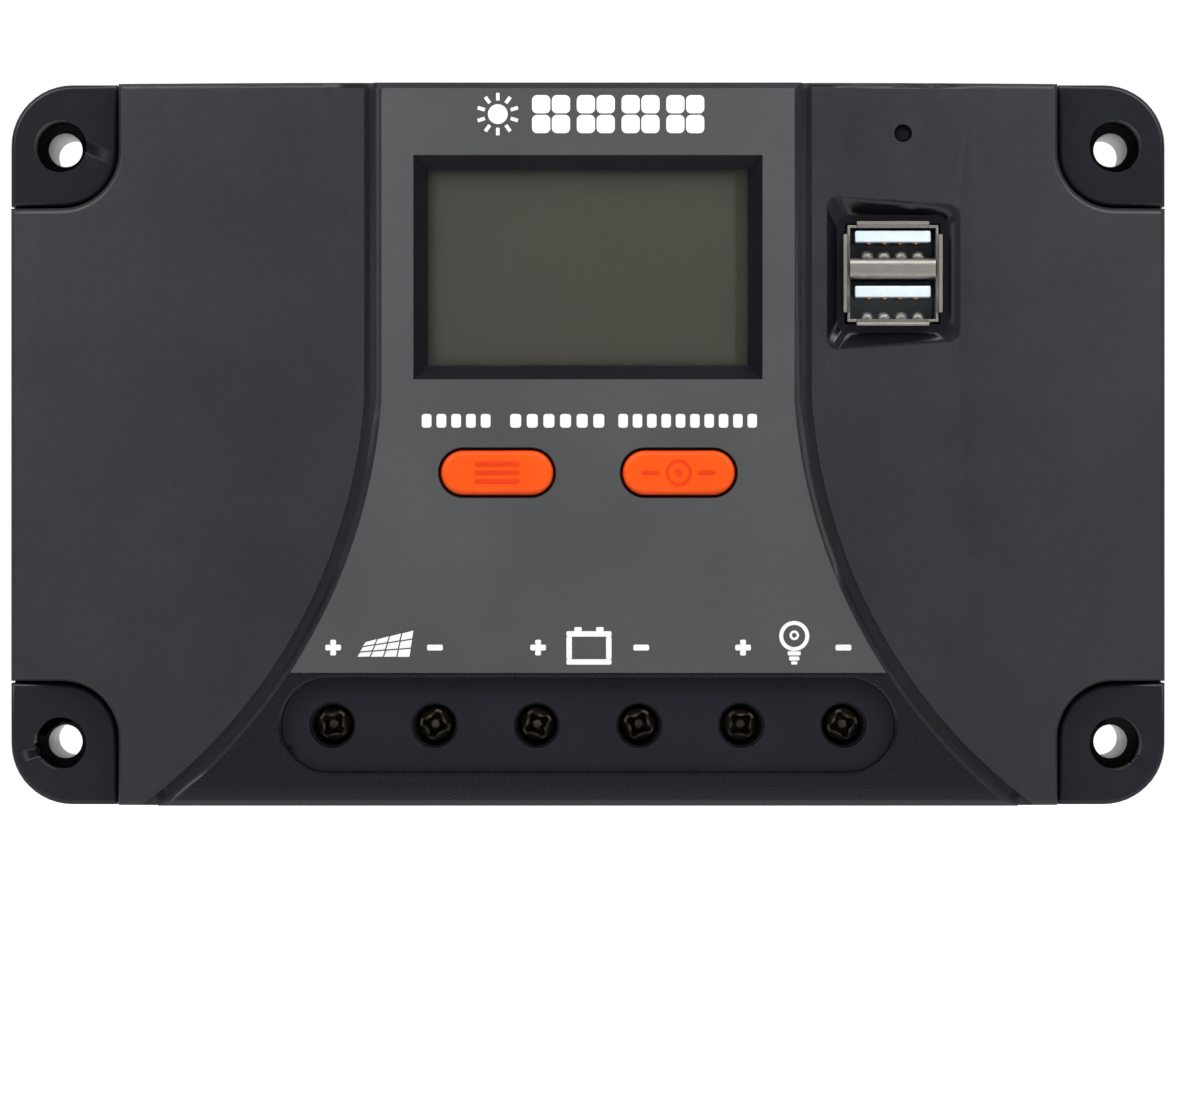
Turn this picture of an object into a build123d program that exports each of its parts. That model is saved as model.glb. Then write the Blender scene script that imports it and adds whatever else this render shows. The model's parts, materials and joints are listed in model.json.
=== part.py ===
from build123d import *
import math
import os

# A wall-mounted solar charge controller. The wall is the plane Y = 0, the front faces -Y and Z is up.
# The origin is the centre of the four mounting holes, on the wall. A "depth" is a distance from the
# wall towards the front. All sizes are in millimetres.

os.makedirs("parts", exist_ok=True)

# Case
case_width = 170.0
case_height = 106.0
case_depth = 44.0
split_depth = 28.0
wall = 2.5
back_wall = 3.0
corner_radius = 9.0

# Corner ears of the rear housing, which stand in notches of the front cover
ear_width = 16.0
ear_height = 18.2
ear_depth = 36.6
notch_radius = 8.4
parting_gap = 0.3
ear_edge_round = 0.7

# Wire ports and vents of the rear housing
port_width = 8.4
port_height = 7.6
port_round = 1.0
vent_length = 12.0
vent_width = 3.0
vent_depth = 14.0
side_vent_count = 5
side_vent_pitch = 6.0
top_vent_count = 9
top_vent_pitch = 9.0

# Wall mounting holes
mount_inset_x = 7.25
mount_inset_z = 9.0
mount_hole_radius = 2.5
mount_bore_radius = 3.85
mount_ledge_depth = 24.0

# Curved front of the cover
crown_depth = 43.2
crown_side_depth = 37.0
crown_flat = 31.0
crown_edge_round = 0.9

# Raised centre panel, straight at the top and flared to the bottom by one arc on each side
panel_half = 30.4
flare_radius = 83.4
flare_centre_x = 113.6
flare_centre_rise = 65.2
panel_chamfer = 0.9
panel_root_depth = 40.9
groove_width = 1.5
groove_depth = 1.2

# Printed label on the panel
label_thickness = 0.35
label_margin = 0.15
label_end_rise = 19.5

# Display
lcd_drop = 27.1
bezel_width = 51.0
bezel_height = 32.7
glass_width = 46.9
glass_height = 28.7
bezel_depth = 2.5
window_thickness = 1.0
window_lap = 2.0
lcd_glass_thickness = 2.2
lcd_frame_wall = 1.4
lcd_gap = 0.2

# Display board
board_thickness = 1.6
display_board_width = 65.0
display_board_depth = 33.0
display_board_margin = 5.0
display_screw_inset = 3.2
display_boss_radius = 2.3

# Buttons
button_width = 16.4
button_height = 6.5
button_pitch = 26.6
button_drop = 30.1
button_gap = 0.4
button_proud = 0.9
button_round = 0.9
button_flange = 1.2
button_flange_thickness = 0.9
button_travel = 0.5
switch_size = 6.0
switch_height = 3.6
switch_round = 0.4
plunger_radius = 1.7
plunger_gap = 0.1
plunger_lap = 0.4

# Terminals
pole_count = 6
pole_pitch = 15.0
terminal_rise = 11.8
recess_height = 13.9
recess_depth = 2.5
recess_chamfer = 0.4
guard_flange = 2.0
guard_flange_thickness = 1.6
guard_fit = 0.1
guard_seat = guard_flange + guard_fit
access_radius = 3.4
block_width = 14.96
block_below = 8.3
block_above = 5.0
block_front = 36.5
block_floor = 0.8
screw_radius = 1.98
screw_head_radius = 2.8
screw_head_height = 2.4
screw_fit = 0.08
head_clearance = 0.3
shelf_depth = 33.0
shelf_thickness = 1.1
cage_width = 8.4
cage_length = 7.0
cage_wall = 1.2
cage_base = 1.4
cage_plate = 1.6
cage_clearance = 0.3
clamp_travel = 4.2
grip_gap = 0.3
bar_width = 5.2
bar_thickness = 1.2
bar_clearance = 0.2
bar_overhang = 2.4
entry_width = 7.2
entry_height = 6.0

# Boards and what stands on them
main_board_side_gap = 19.5
main_board_end_gap = 2.0
main_board_rise = 0.5
main_board_depth = 16.0
board_screw_inset = 5.0
standoff_radius = 3.5
board_hole_radius = 1.6

# USB sockets
usb_x = 44.8
usb_drop = 27.9
usb_width = 13.4
usb_height = 14.2
usb_wall = 0.4
usb_round = 0.6
usb_lip = 0.65
usb_lip_depth = 0.7
usb_lip_inset = 1.3
usb_front = 41.0
usb_board_size = 24.0
usb_board_depth = 22.0
port_pitch = 8.1
usb_divider = 3.0
tongue_width = 11.1
tongue_thickness = 1.84
tongue_rise = 0.9
tongue_sink = 0.8
insulator_length = 6.0
insulator_gap = 0.05
contact_width = 1.0
contact_thickness = 0.25
contact_pitch = 2.3
contact_count = 4
contact_setback = 0.6
usb_header_length = 16.8
usb_header_width = 2.5
usb_header_inset = 3.0
pocket_floor = 39.0
pocket_wall = 2.0
pocket_gap = 0.9
pocket_round = 1.8
pocket_draft_width = 3.0
pocket_draft_inner = 5.2
pocket_draft_outer = 2.5
usb_hole_gap = 0.3

# Status light
light_x = 46.2
light_drop = 7.4
light_hole_radius = 1.3
light_pipe_gap = 0.1
light_pipe_sink = 1.0
light_pipe_flange = 0.8
light_flange_thickness = 1.0
light_flange_gap = 0.4
led_radius = 1.45
led_height = 4.6

# Heat sink and transistors
sink_width = 106.0
sink_height = 56.0
sink_rise = 4.0
sink_lap = 8.0
sink_ledge_depth = 6.0
sink_plate = 3.0
fin_count = 13
fin_thickness = 1.6
fin_setback = 1.2
sink_fit = 0.5
transistor_count = 4
transistor_pitch = 25.0
pad_thickness = 0.3
pad_lap = 1.5
tab_thickness = 1.3
tab_width = 10.0
tab_length = 15.6
tab_hole_rise = 5.0
body_height = 4.4
body_length = 9.2
lead_count = 3
lead_width = 0.9
lead_thickness = 0.6
lead_length = 2.5
lead_rise = 2.0

# Parts on the main board
parts_gap = 3.0
capacitor_count = 3
capacitor_x = -50.0
capacitor_radius = 6.3
capacitor_pitch = 15.6
capacitor_height = 17.0
capacitor_round = 0.8
choke_x = 20.0
choke_radius = 8.0
choke_bore_radius = 3.4
choke_height = 8.0
choke_round = 1.6
shunt_x = -6.0
shunt_length = 20.0
shunt_height = 6.0
shunt_width = 4.0
shunt_thickness = 1.2
fuse_x = -32.0
fuse_holder_length = 19.0
fuse_holder_width = 5.2
fuse_holder_height = 8.0
fuse_length = 17.0
fuse_width = 4.0
fuse_height = 5.0
chip_drop = 14.0
chip_size = 10.0
chip_height = 1.5
buzzer_x = 50.0
buzzer_drop = 6.0
buzzer_radius = 4.6
buzzer_height = 5.5
sound_hole_radius = 1.0
sound_hole_depth = 2.0
header_rise = 10.0
header_length = 22.0
header_width = 5.0
header_height = 2.5
pin_size = 0.64
pin_pitch = 2.54
pin_columns = 8
pin_rows = 2

# Fasteners
m3_radius = 1.45
m3_head_radius = 2.8
m3_head_height = 2.0
m2_radius = 0.95
m2_head_radius = 1.9
m2_head_height = 1.4
thread_gap = 0.05
hole_gap = 0.2
screw_root = 1.5
head_chamfer = 0.3
drive_span = 1.2
drive_slot = 0.28
drive_share = 0.6
case_screw_inset = 11.0
case_screw_z = 20.0
case_post_radius = 4.2
case_screw_seat = 14.0
case_screw_reach = 7.5

# Sizes that follow from those above
half_width = case_width / 2
half_height = case_height / 2
mount_spacing_x = case_width - 2 * mount_inset_x
mount_spacing_z = case_height - 2 * mount_inset_z
main_board_width = case_width - 2 * wall - 2 * main_board_side_gap
main_board_height = case_height - 2 * wall - 2 * main_board_end_gap
pocket_floor_width = usb_width + 2 * usb_lip + 2 * pocket_gap
pocket_floor_height = usb_height + 2 * usb_lip + 2 * pocket_gap
pocket_width = pocket_floor_width + pocket_draft_width
pocket_height_inner = pocket_floor_height + pocket_draft_inner
pocket_height_outer = pocket_floor_height + pocket_draft_outer
case_screw_x = half_width - case_screw_inset
lcd_z = half_height - lcd_drop
button_z = lcd_z - button_drop
terminal_z = terminal_rise - half_height
usb_z = half_height - usb_drop
light_z = half_height - light_drop
label_end_z = label_end_rise - half_height
flare_centre_z = flare_centre_rise - half_height
inner_face = crown_depth - wall
lcd_width = glass_width + 2 * window_lap
lcd_height = glass_height + 2 * window_lap
board_front = main_board_depth + board_thickness
display_front = display_board_depth + board_thickness
window_front = case_depth - bezel_depth
window_back = window_front - window_thickness
lcd_glass_front = window_back - lcd_gap
lcd_glass_back = lcd_glass_front - lcd_glass_thickness
flange_front = inner_face - lcd_gap
usb_board_front = usb_board_depth + board_thickness
sink_front = sink_ledge_depth + sink_plate
case_screws = [(x, z) for x in (-case_screw_x, case_screw_x) for z in (-case_screw_z, case_screw_z)]
pole_xs = [(i - (pole_count - 1) / 2) * pole_pitch for i in range(pole_count)]
side_vent_zs = [(i - (side_vent_count - 1) / 2) * side_vent_pitch for i in range(side_vent_count)]
top_vent_xs = [(i - (top_vent_count - 1) / 2) * top_vent_pitch for i in range(top_vent_count)]
recess_width = pole_count * pole_pitch
cage_floor = board_front + block_floor
bar_back = cage_floor + cage_base + clamp_travel + grip_gap
bar_front = bar_back + bar_thickness
bar_end = terminal_z + block_above + bar_overhang
cage_top = bar_front + bar_clearance + cage_plate
screw_tip = bar_front + bar_clearance / 2
button_xs = {"menu": -button_pitch / 2, "set": button_pitch / 2}
display_board_bottom = button_z - display_board_margin - button_height / 2
display_board_top = lcd_z + bezel_height / 2 + display_board_margin
display_board_height = display_board_top - display_board_bottom
display_board_z = (display_board_top + display_board_bottom) / 2
transistor_xs = [(i - (transistor_count - 1) / 2) * transistor_pitch for i in range(transistor_count)]


def front_plane(depth):
    """The plane parallel to the wall at a depth, with its normal towards the front."""
    return Plane.XZ.offset(depth)


def ear_grid():
    """Where the four ear rectangles stand. Each runs past the case by the notch radius."""
    return GridLocations(
        case_width - ear_width + notch_radius, case_height - ear_height + notch_radius, 2, 2
    )


def ears(grow, mode=Mode.ADD):
    """The four ear rectangles in the open sketch, grown on every side."""
    with ear_grid():
        RectangleRounded(
            ear_width + notch_radius + 2 * grow,
            ear_height + notch_radius + 2 * grow,
            notch_radius + grow,
            mode=mode,
        )


def crown_section(drop):
    """The cover's curved front in plan, in the open sketch, with the surface lowered by an amount."""
    edge = -(crown_side_depth - drop)
    crest = -(crown_depth - drop)
    with BuildLine() as outline:
        Polyline((-half_width, edge), (-half_width, 0), (half_width, 0), (half_width, edge))
        TangentArc((crown_flat, crest), (half_width, edge), tangent=(1, 0))
        TangentArc((-crown_flat, crest), (-half_width, edge), tangent=(-1, 0))
        Line((-crown_flat, crest), (crown_flat, crest))
    make_face(outline.edges())


def flare_x(z, radius):
    """How far the flared side of the panel stands from the middle at a height."""
    return flare_centre_x - math.sqrt(radius**2 - (flare_centre_z - z) ** 2)


def panel(grow, mode=Mode.ADD):
    """The centre panel's outline in the open sketch, grown on its two long sides."""
    half = panel_half + grow
    radius = flare_radius - grow
    knee = flare_centre_z - math.sqrt(radius**2 - (flare_centre_x - half) ** 2)
    foot = -half_height
    middle = (knee + foot) / 2
    with BuildLine() as outline:
        Polyline((-half, knee), (-half, half_height), (half, half_height), (half, knee))
        ThreePointArc((half, knee), (flare_x(middle, radius), middle), (flare_x(foot, radius), foot))
        ThreePointArc((-half, knee), (-flare_x(middle, radius), middle), (-flare_x(foot, radius), foot))
        Line((-flare_x(foot, radius), foot), (flare_x(foot, radius), foot))
    make_face(outline.edges(), mode=mode)


def screw_set(spots, tip, seat, radius, head_radius, head_height):
    """Screws as one group, each from its tip to the face that its head seats on, and then its head."""
    way = 1 if seat > tip else -1
    top = seat + way * head_height
    with BuildPart() as group:
        with BuildSketch(front_plane(tip)):
            with Locations(*spots):
                Circle(radius)
        extrude(amount=seat - tip)
        with BuildSketch(front_plane(seat)):
            with Locations(*spots):
                Circle(head_radius)
        extrude(amount=top - seat)
        rims = group.edges().filter_by_position(Axis.Y, -top - thread_gap, -top + thread_gap)
        chamfer(rims, head_chamfer)
        with BuildSketch(front_plane(top)):
            with Locations(*spots):
                Rectangle(head_radius * drive_span, head_radius * drive_slot)
                Rectangle(head_radius * drive_slot, head_radius * drive_span)
        extrude(amount=-way * head_height * drive_share, mode=Mode.SUBTRACT)
    return group


# Rear housing: a tray with an ear at each corner, open at the front
standoff_x = main_board_width / 2 - board_screw_inset
standoff_z = main_board_height / 2 - board_screw_inset
standoffs = [
    (x, main_board_rise + z) for x in (-standoff_x, standoff_x) for z in (-standoff_z, standoff_z)
]
sink_screw_x = sink_width / 2 - sink_lap / 2
sink_screw_z = sink_height / 2 - sink_lap / 2
sink_screws = [
    (x, sink_rise + z) for x in (-sink_screw_x, sink_screw_x) for z in (-sink_screw_z, sink_screw_z)
]
with BuildPart() as rear_housing:
    with BuildSketch(front_plane(0)):
        RectangleRounded(case_width, case_height, corner_radius)
    extrude(amount=split_depth)
    with BuildSketch(front_plane(split_depth)):
        ears(-parting_gap)
        RectangleRounded(case_width, case_height, corner_radius, mode=Mode.INTERSECT)
    extrude(amount=ear_depth - split_depth)
    fillet(rear_housing.faces().sort_by(Axis.Y)[0:4].edges(), ear_edge_round)
    with BuildSketch(front_plane(back_wall)):
        RectangleRounded(case_width - 2 * wall, case_height - 2 * wall, corner_radius - wall)
        ears(0, mode=Mode.SUBTRACT)
        with Locations(*case_screws):
            Circle(case_post_radius, mode=Mode.SUBTRACT)
    extrude(amount=split_depth - back_wall, mode=Mode.SUBTRACT)
    with BuildSketch(front_plane(back_wall)):
        with Locations((0, sink_rise)):
            Rectangle(sink_width, sink_height)
    extrude(amount=sink_ledge_depth - back_wall)
    with BuildSketch(front_plane(0)):
        with Locations((0, sink_rise)):
            Rectangle(sink_width - 2 * sink_lap, sink_height - 2 * sink_lap)
    extrude(amount=sink_ledge_depth, mode=Mode.SUBTRACT)
    with BuildSketch(front_plane(back_wall)):
        with Locations(*standoffs):
            Circle(standoff_radius)
    extrude(amount=main_board_depth - back_wall)
    with BuildSketch(front_plane(back_wall + screw_root)):
        with Locations(*standoffs):
            Circle(m3_radius + thread_gap)
    extrude(amount=main_board_depth, mode=Mode.SUBTRACT)
    with BuildSketch(front_plane(screw_root)):
        with Locations(*sink_screws):
            Circle(m3_radius + thread_gap)
    extrude(amount=sink_ledge_depth, mode=Mode.SUBTRACT)
    with BuildSketch(front_plane(0)):
        with Locations(*case_screws):
            Circle(m3_head_radius + head_clearance)
    extrude(amount=case_screw_seat, mode=Mode.SUBTRACT)
    with BuildSketch(front_plane(0)):
        with Locations(*case_screws):
            Circle(m3_radius + hole_gap)
        with GridLocations(mount_spacing_x, mount_spacing_z, 2, 2):
            Circle(mount_hole_radius)
    extrude(amount=case_depth, mode=Mode.SUBTRACT)
    with BuildSketch(front_plane(mount_ledge_depth)):
        with GridLocations(mount_spacing_x, mount_spacing_z, 2, 2):
            Circle(mount_bore_radius)
    extrude(amount=case_depth, mode=Mode.SUBTRACT)
    with BuildSketch(Plane.XY.offset(-half_height)):
        with Locations(*[(x, -(cage_floor + bar_back) / 2 - cage_base / 2) for x in pole_xs]):
            RectangleRounded(port_width, port_height, port_round)
    extrude(amount=wall, mode=Mode.SUBTRACT)
    with Locations(*[(0, -vent_depth, z) for z in side_vent_zs]):
        Box(case_width, vent_length, vent_width, mode=Mode.SUBTRACT)
    with Locations(*[(x, -vent_depth, half_height) for x in top_vent_xs]):
        Box(vent_width, vent_length, 4 * wall, mode=Mode.SUBTRACT)

# Front cover: first the hollow under it, the groove beside the panel, and the panel itself
display_screw_x = display_board_width / 2 - display_screw_inset
display_screw_z = display_board_height / 2 - display_screw_inset
display_screws = [
    (x, display_board_z + z)
    for x in (-display_screw_x, display_screw_x)
    for z in (-display_screw_z, display_screw_z)
]
with BuildPart() as cover_hollow:
    with BuildSketch(front_plane(split_depth)):
        Rectangle(case_width - 2 * wall, case_height - 2 * wall)
        ears(wall, mode=Mode.SUBTRACT)
        with Locations(*case_screws):
            Circle(case_post_radius, mode=Mode.SUBTRACT)
    extrude(amount=case_depth)
    with BuildSketch(Plane.XY.offset(-case_height)):
        crown_section(wall)
    extrude(amount=2 * case_height, mode=Mode.INTERSECT)
    with BuildSketch(front_plane(display_front)):
        with Locations(*display_screws):
            Circle(display_boss_radius)
    extrude(amount=case_depth, mode=Mode.SUBTRACT)
    with BuildSketch(front_plane(pocket_floor - pocket_wall)):
        with Locations((usb_x, usb_z)):
            Rectangle(pocket_width + 2 * pocket_wall, pocket_height_inner + 2 * pocket_wall)
    extrude(amount=case_depth, mode=Mode.SUBTRACT)

with BuildPart() as groove_cutter:
    with BuildSketch(front_plane(split_depth)):
        panel(panel_chamfer + groove_width)
        panel(panel_chamfer, mode=Mode.SUBTRACT)
    extrude(amount=case_depth)
    with BuildSketch(Plane.XY.offset(-case_height)):
        crown_section(groove_depth)
    extrude(amount=2 * case_height, mode=Mode.SUBTRACT)

with BuildPart() as panel_step:
    with BuildSketch(front_plane(panel_root_depth)):
        panel(panel_chamfer)
    extrude(amount=case_depth - panel_root_depth)
    chamfer(panel_step.faces().sort_by(Axis.Y)[0].edges(), panel_chamfer)

with BuildPart() as front_cover:
    with BuildSketch(Plane.XY.offset(-half_height)):
        crown_section(0)
    extrude(amount=case_height)
    with BuildSketch(front_plane(0)):
        ears(0)
    extrude(amount=case_depth, mode=Mode.SUBTRACT)
    with BuildSketch(front_plane(0)):
        Rectangle(case_width, case_height)
    extrude(amount=split_depth, mode=Mode.SUBTRACT)
    rim = front_cover.edges().filter_by(Axis.Y, reverse=True)
    rim = rim.filter_by(lambda edge: edge.center().Y < -split_depth - wall)
    rim = rim.filter_by(lambda edge: abs(abs(edge.center().X) - crown_flat) > thread_gap)
    fillet(rim, crown_edge_round)
    add(groove_cutter.part, mode=Mode.SUBTRACT)
    add(panel_step.part)
    add(cover_hollow.part, mode=Mode.SUBTRACT)
    # sloping surround of the display, with the window's seat behind it
    for depth, width, height in (
        (case_depth, bezel_width, bezel_height),
        (window_front, glass_width, glass_height),
    ):
        with BuildSketch(front_plane(depth)):
            with Locations((0, lcd_z)):
                Rectangle(width, height)
    loft(mode=Mode.SUBTRACT)
    with BuildSketch(front_plane(split_depth)):
        with Locations((0, lcd_z)):
            Rectangle(lcd_width, lcd_height)
    extrude(amount=window_front - split_depth, mode=Mode.SUBTRACT)
    # button holes
    with BuildSketch(front_plane(split_depth)):
        with Locations(*[(x, button_z) for x in button_xs.values()]):
            SlotOverall(button_width + 2 * button_gap, button_height + 2 * button_gap)
    extrude(amount=case_depth, mode=Mode.SUBTRACT)
    # slot over the terminals, which the guard closes from behind
    with BuildSketch(front_plane(split_depth)):
        with Locations((0, terminal_z)):
            SlotOverall(recess_width, recess_height)
    extrude(amount=case_depth, mode=Mode.SUBTRACT)
    mouth = front_cover.edges().filter_by_position(Axis.Y, -case_depth - thread_gap, -case_depth + thread_gap)
    mouth = mouth.filter_by(lambda edge: abs(edge.center().Z - terminal_z) < recess_height / 2 + thread_gap)
    chamfer(mouth, recess_chamfer)
    with BuildSketch(front_plane(split_depth)):
        with Locations((0, terminal_z)):
            SlotOverall(recess_width + 2 * guard_seat, recess_height + 2 * guard_seat)
    extrude(amount=inner_face - split_depth, mode=Mode.SUBTRACT)
    # USB pocket, taller on the side near the panel
    with BuildSketch(front_plane(crown_depth)) as pocket_mouth:
        with BuildLine():
            Polyline(
                (usb_x - pocket_width / 2, usb_z - pocket_height_inner / 2),
                (usb_x + pocket_width / 2, usb_z - pocket_height_outer / 2),
                (usb_x + pocket_width / 2, usb_z + pocket_height_outer / 2),
                (usb_x - pocket_width / 2, usb_z + pocket_height_inner / 2),
                close=True,
            )
        make_face()
        fillet(pocket_mouth.vertices(), pocket_round)
    with BuildSketch(front_plane(pocket_floor)) as pocket_base:
        with Locations((usb_x, usb_z)):
            Rectangle(pocket_floor_width, pocket_floor_height)
        fillet(pocket_base.vertices(), pocket_round)
    loft(mode=Mode.SUBTRACT)
    with BuildSketch(front_plane(split_depth)):
        with Locations((usb_x, usb_z)):
            Rectangle(usb_width + 2 * usb_hole_gap, usb_height + 2 * usb_hole_gap)
    extrude(amount=case_depth, mode=Mode.SUBTRACT)
    # status light hole, display screw holes and case screw holes
    with BuildSketch(front_plane(split_depth)):
        with Locations((light_x, light_z)):
            Circle(light_hole_radius)
    extrude(amount=case_depth, mode=Mode.SUBTRACT)
    with BuildSketch(front_plane(display_front)):
        with Locations(*display_screws):
            Circle(m2_radius + thread_gap)
    extrude(amount=inner_face - display_front, mode=Mode.SUBTRACT)
    with BuildSketch(front_plane(split_depth)):
        with Locations(*case_screws):
            Circle(m3_radius + thread_gap)
    extrude(amount=case_screw_reach + thread_gap, mode=Mode.SUBTRACT)

with BuildPart() as panel_label:
    with BuildSketch(front_plane(case_depth)):
        panel(-label_margin)
        label_top_z = half_height - panel_chamfer
        with Locations((0, (label_top_z + label_end_z) / 2)):
            Rectangle(case_width, label_top_z - label_end_z, mode=Mode.INTERSECT)
        with Locations((0, lcd_z)):
            Rectangle(bezel_width + label_margin, bezel_height + label_margin, mode=Mode.SUBTRACT)
        with Locations(*[(x, button_z) for x in button_xs.values()]):
            SlotOverall(
                button_width + 2 * button_gap + label_margin,
                button_height + 2 * button_gap + label_margin,
                mode=Mode.SUBTRACT,
            )
    extrude(amount=label_thickness)

with BuildPart() as terminal_guard:
    with BuildSketch(front_plane(inner_face - guard_flange_thickness)):
        with Locations((0, terminal_z)):
            SlotOverall(recess_width + 2 * guard_flange, recess_height + 2 * guard_flange)
    extrude(amount=guard_flange_thickness)
    with BuildSketch(front_plane(inner_face)):
        with Locations((0, terminal_z)):
            SlotOverall(recess_width - 2 * guard_fit, recess_height - 2 * guard_fit)
    extrude(amount=case_depth - recess_depth - inner_face)
    with BuildSketch(front_plane(split_depth)):
        with Locations(*[(x, terminal_z) for x in pole_xs]):
            Circle(access_radius)
    extrude(amount=case_depth, mode=Mode.SUBTRACT)

with BuildPart() as lcd_window:
    with BuildSketch(front_plane(window_back)):
        with Locations((0, lcd_z)):
            Rectangle(lcd_width - 2 * guard_fit, lcd_height - 2 * guard_fit)
    extrude(amount=window_thickness)

with BuildPart() as lcd_glass:
    with BuildSketch(front_plane(lcd_glass_back)):
        with Locations((0, lcd_z)):
            Rectangle(lcd_width, lcd_height)
    extrude(amount=lcd_glass_thickness)

with BuildPart() as lcd_backlight:
    with BuildSketch(front_plane(display_front)):
        with Locations((0, lcd_z)):
            Rectangle(lcd_width, lcd_height)
    extrude(amount=lcd_glass_back - display_front)

with BuildPart() as lcd_frame:
    with BuildSketch(front_plane(display_front)):
        with Locations((0, lcd_z)):
            Rectangle(lcd_width + 2 * lcd_frame_wall, lcd_height + 2 * lcd_frame_wall)
            Rectangle(lcd_width, lcd_height, mode=Mode.SUBTRACT)
    extrude(amount=lcd_glass_front - display_front)

with BuildPart() as display_board:
    with BuildSketch(front_plane(display_board_depth)):
        with Locations((0, display_board_z)):
            Rectangle(display_board_width, display_board_height)
        with Locations(*display_screws):
            Circle(m2_radius + hole_gap, mode=Mode.SUBTRACT)
    extrude(amount=board_thickness)

display_board_screws = screw_set(
    display_screws, inner_face - screw_root, display_board_depth, m2_radius, m2_head_radius, m2_head_height
)

switch_front = display_front + switch_height
with BuildPart() as switch_bodies:
    with BuildSketch(front_plane(display_front)):
        with Locations(*[(x, button_z) for x in button_xs.values()]):
            RectangleRounded(switch_size, switch_size, switch_round)
    extrude(amount=switch_height)
    with BuildSketch(front_plane(switch_front - button_travel - plunger_lap)):
        with Locations(*[(x, button_z) for x in button_xs.values()]):
            Circle(plunger_radius + plunger_gap)
    extrude(amount=case_depth, mode=Mode.SUBTRACT)

flange_back = flange_front - button_flange_thickness
button_caps = {}
switch_plungers = {}
for name, x in button_xs.items():
    with BuildPart() as cap:
        with BuildSketch(front_plane(flange_back)):
            with Locations((x, button_z)):
                SlotOverall(
                    button_width + 2 * button_gap + 2 * button_flange,
                    button_height + 2 * button_gap + 2 * button_flange,
                )
        extrude(amount=button_flange_thickness)
        with BuildSketch(front_plane(flange_front)):
            with Locations((x, button_z)):
                SlotOverall(button_width, button_height)
        extrude(amount=case_depth + button_proud - flange_front)
        fillet(cap.faces().sort_by(Axis.Y)[0].edges(), button_round)
    button_caps[name] = cap
    with BuildPart() as plunger:
        with BuildSketch(front_plane(switch_front - plunger_lap)):
            with Locations((x, button_z)):
                Circle(plunger_radius)
        extrude(amount=flange_back - switch_front + plunger_lap)
    switch_plungers[name] = plunger

# USB sockets, one above the other, standing on their own small board
with BuildPart() as usb_shell:
    with BuildSketch(front_plane(usb_board_front)):
        with Locations((usb_x, usb_z)):
            RectangleRounded(usb_width, usb_height, usb_round)
            Rectangle(usb_width - 2 * usb_wall, usb_height - 2 * usb_wall, mode=Mode.SUBTRACT)
            Rectangle(usb_width, usb_divider)
    extrude(amount=usb_front - usb_board_front)
    lip_root = usb_front - usb_lip_depth
    with BuildSketch(front_plane(lip_root)):
        with Locations((usb_x, usb_z)):
            Rectangle(usb_width + 2 * usb_lip, usb_height - 2 * usb_lip_inset)
            Rectangle(usb_width - 2 * usb_lip_inset, usb_height + 2 * usb_lip)
            Rectangle(usb_width - usb_wall, usb_height - usb_wall, mode=Mode.SUBTRACT)
    extrude(amount=usb_lip_depth)

contact_root = usb_board_front + insulator_length
tongue_front = usb_front - tongue_sink
port_zs = [usb_z - port_pitch / 2, usb_z + port_pitch / 2]
insert_room = (usb_height - 2 * usb_wall - usb_divider) / 2
insert_width = usb_width - 2 * usb_wall - 2 * insulator_gap
insert_height = insert_room - 2 * insulator_gap
insert_zs = [usb_z + side * (usb_divider + insert_room) / 2 for side in (-1, 1)]
with BuildPart() as usb_insulator:
    with BuildSketch(front_plane(usb_board_front)):
        with Locations(*[(usb_x, z) for z in insert_zs]):
            Rectangle(insert_width, insert_height)
    extrude(amount=contact_root - usb_board_front)
    with BuildSketch(front_plane(contact_root)):
        with Locations(*[(usb_x, z + tongue_rise) for z in port_zs]):
            Rectangle(tongue_width, tongue_thickness)
    extrude(amount=tongue_front - contact_root)

contact_z_drop = tongue_thickness / 2 + contact_thickness / 2
with BuildPart() as usb_contacts:
    with BuildSketch(front_plane(contact_root)):
        with Locations(*[(usb_x, z + tongue_rise - contact_z_drop) for z in port_zs]):
            with GridLocations(contact_pitch, 1, contact_count, 1):
                Rectangle(contact_width, contact_thickness)
    extrude(amount=tongue_front - contact_root - contact_setback)

with BuildPart() as usb_board:
    with BuildSketch(front_plane(usb_board_depth)):
        with Locations((usb_x, usb_z)):
            Rectangle(usb_board_size, usb_board_size)
    extrude(amount=board_thickness)

with BuildPart() as usb_headers:
    with BuildSketch(front_plane(board_front)):
        with Locations((usb_x, usb_z)):
            with GridLocations(1, usb_board_size - 2 * usb_header_inset, 1, 2):
                Rectangle(usb_header_length, usb_header_width)
    extrude(amount=usb_board_depth - board_front)

# Status light: an LED on the main board and a clear pipe up to the hole in the cover
led_top = board_front + led_height + led_radius
with BuildPart() as status_led:
    with BuildSketch(front_plane(board_front)):
        with Locations((light_x, light_z)):
            Circle(led_radius)
    extrude(amount=led_height)
    with Locations((light_x, -board_front - led_height, light_z)):
        Sphere(led_radius)

crown_radius = ((half_width - crown_flat) ** 2 + (crown_depth - crown_side_depth) ** 2) / (
    2 * (crown_depth - crown_side_depth)
)
light_surface = crown_depth - (light_x - crown_flat) ** 2 / (2 * crown_radius)
pipe_shoulder = light_surface - wall - light_flange_gap
with BuildPart() as light_pipe:
    with BuildSketch(front_plane(led_top + lcd_gap)):
        with Locations((light_x, light_z)):
            Circle(light_hole_radius - light_pipe_gap)
    extrude(amount=light_surface - light_pipe_sink - led_top - lcd_gap)
    with BuildSketch(front_plane(pipe_shoulder - light_flange_thickness)):
        with Locations((light_x, light_z)):
            Circle(light_hole_radius + light_pipe_flange)
    extrude(amount=light_flange_thickness)

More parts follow.
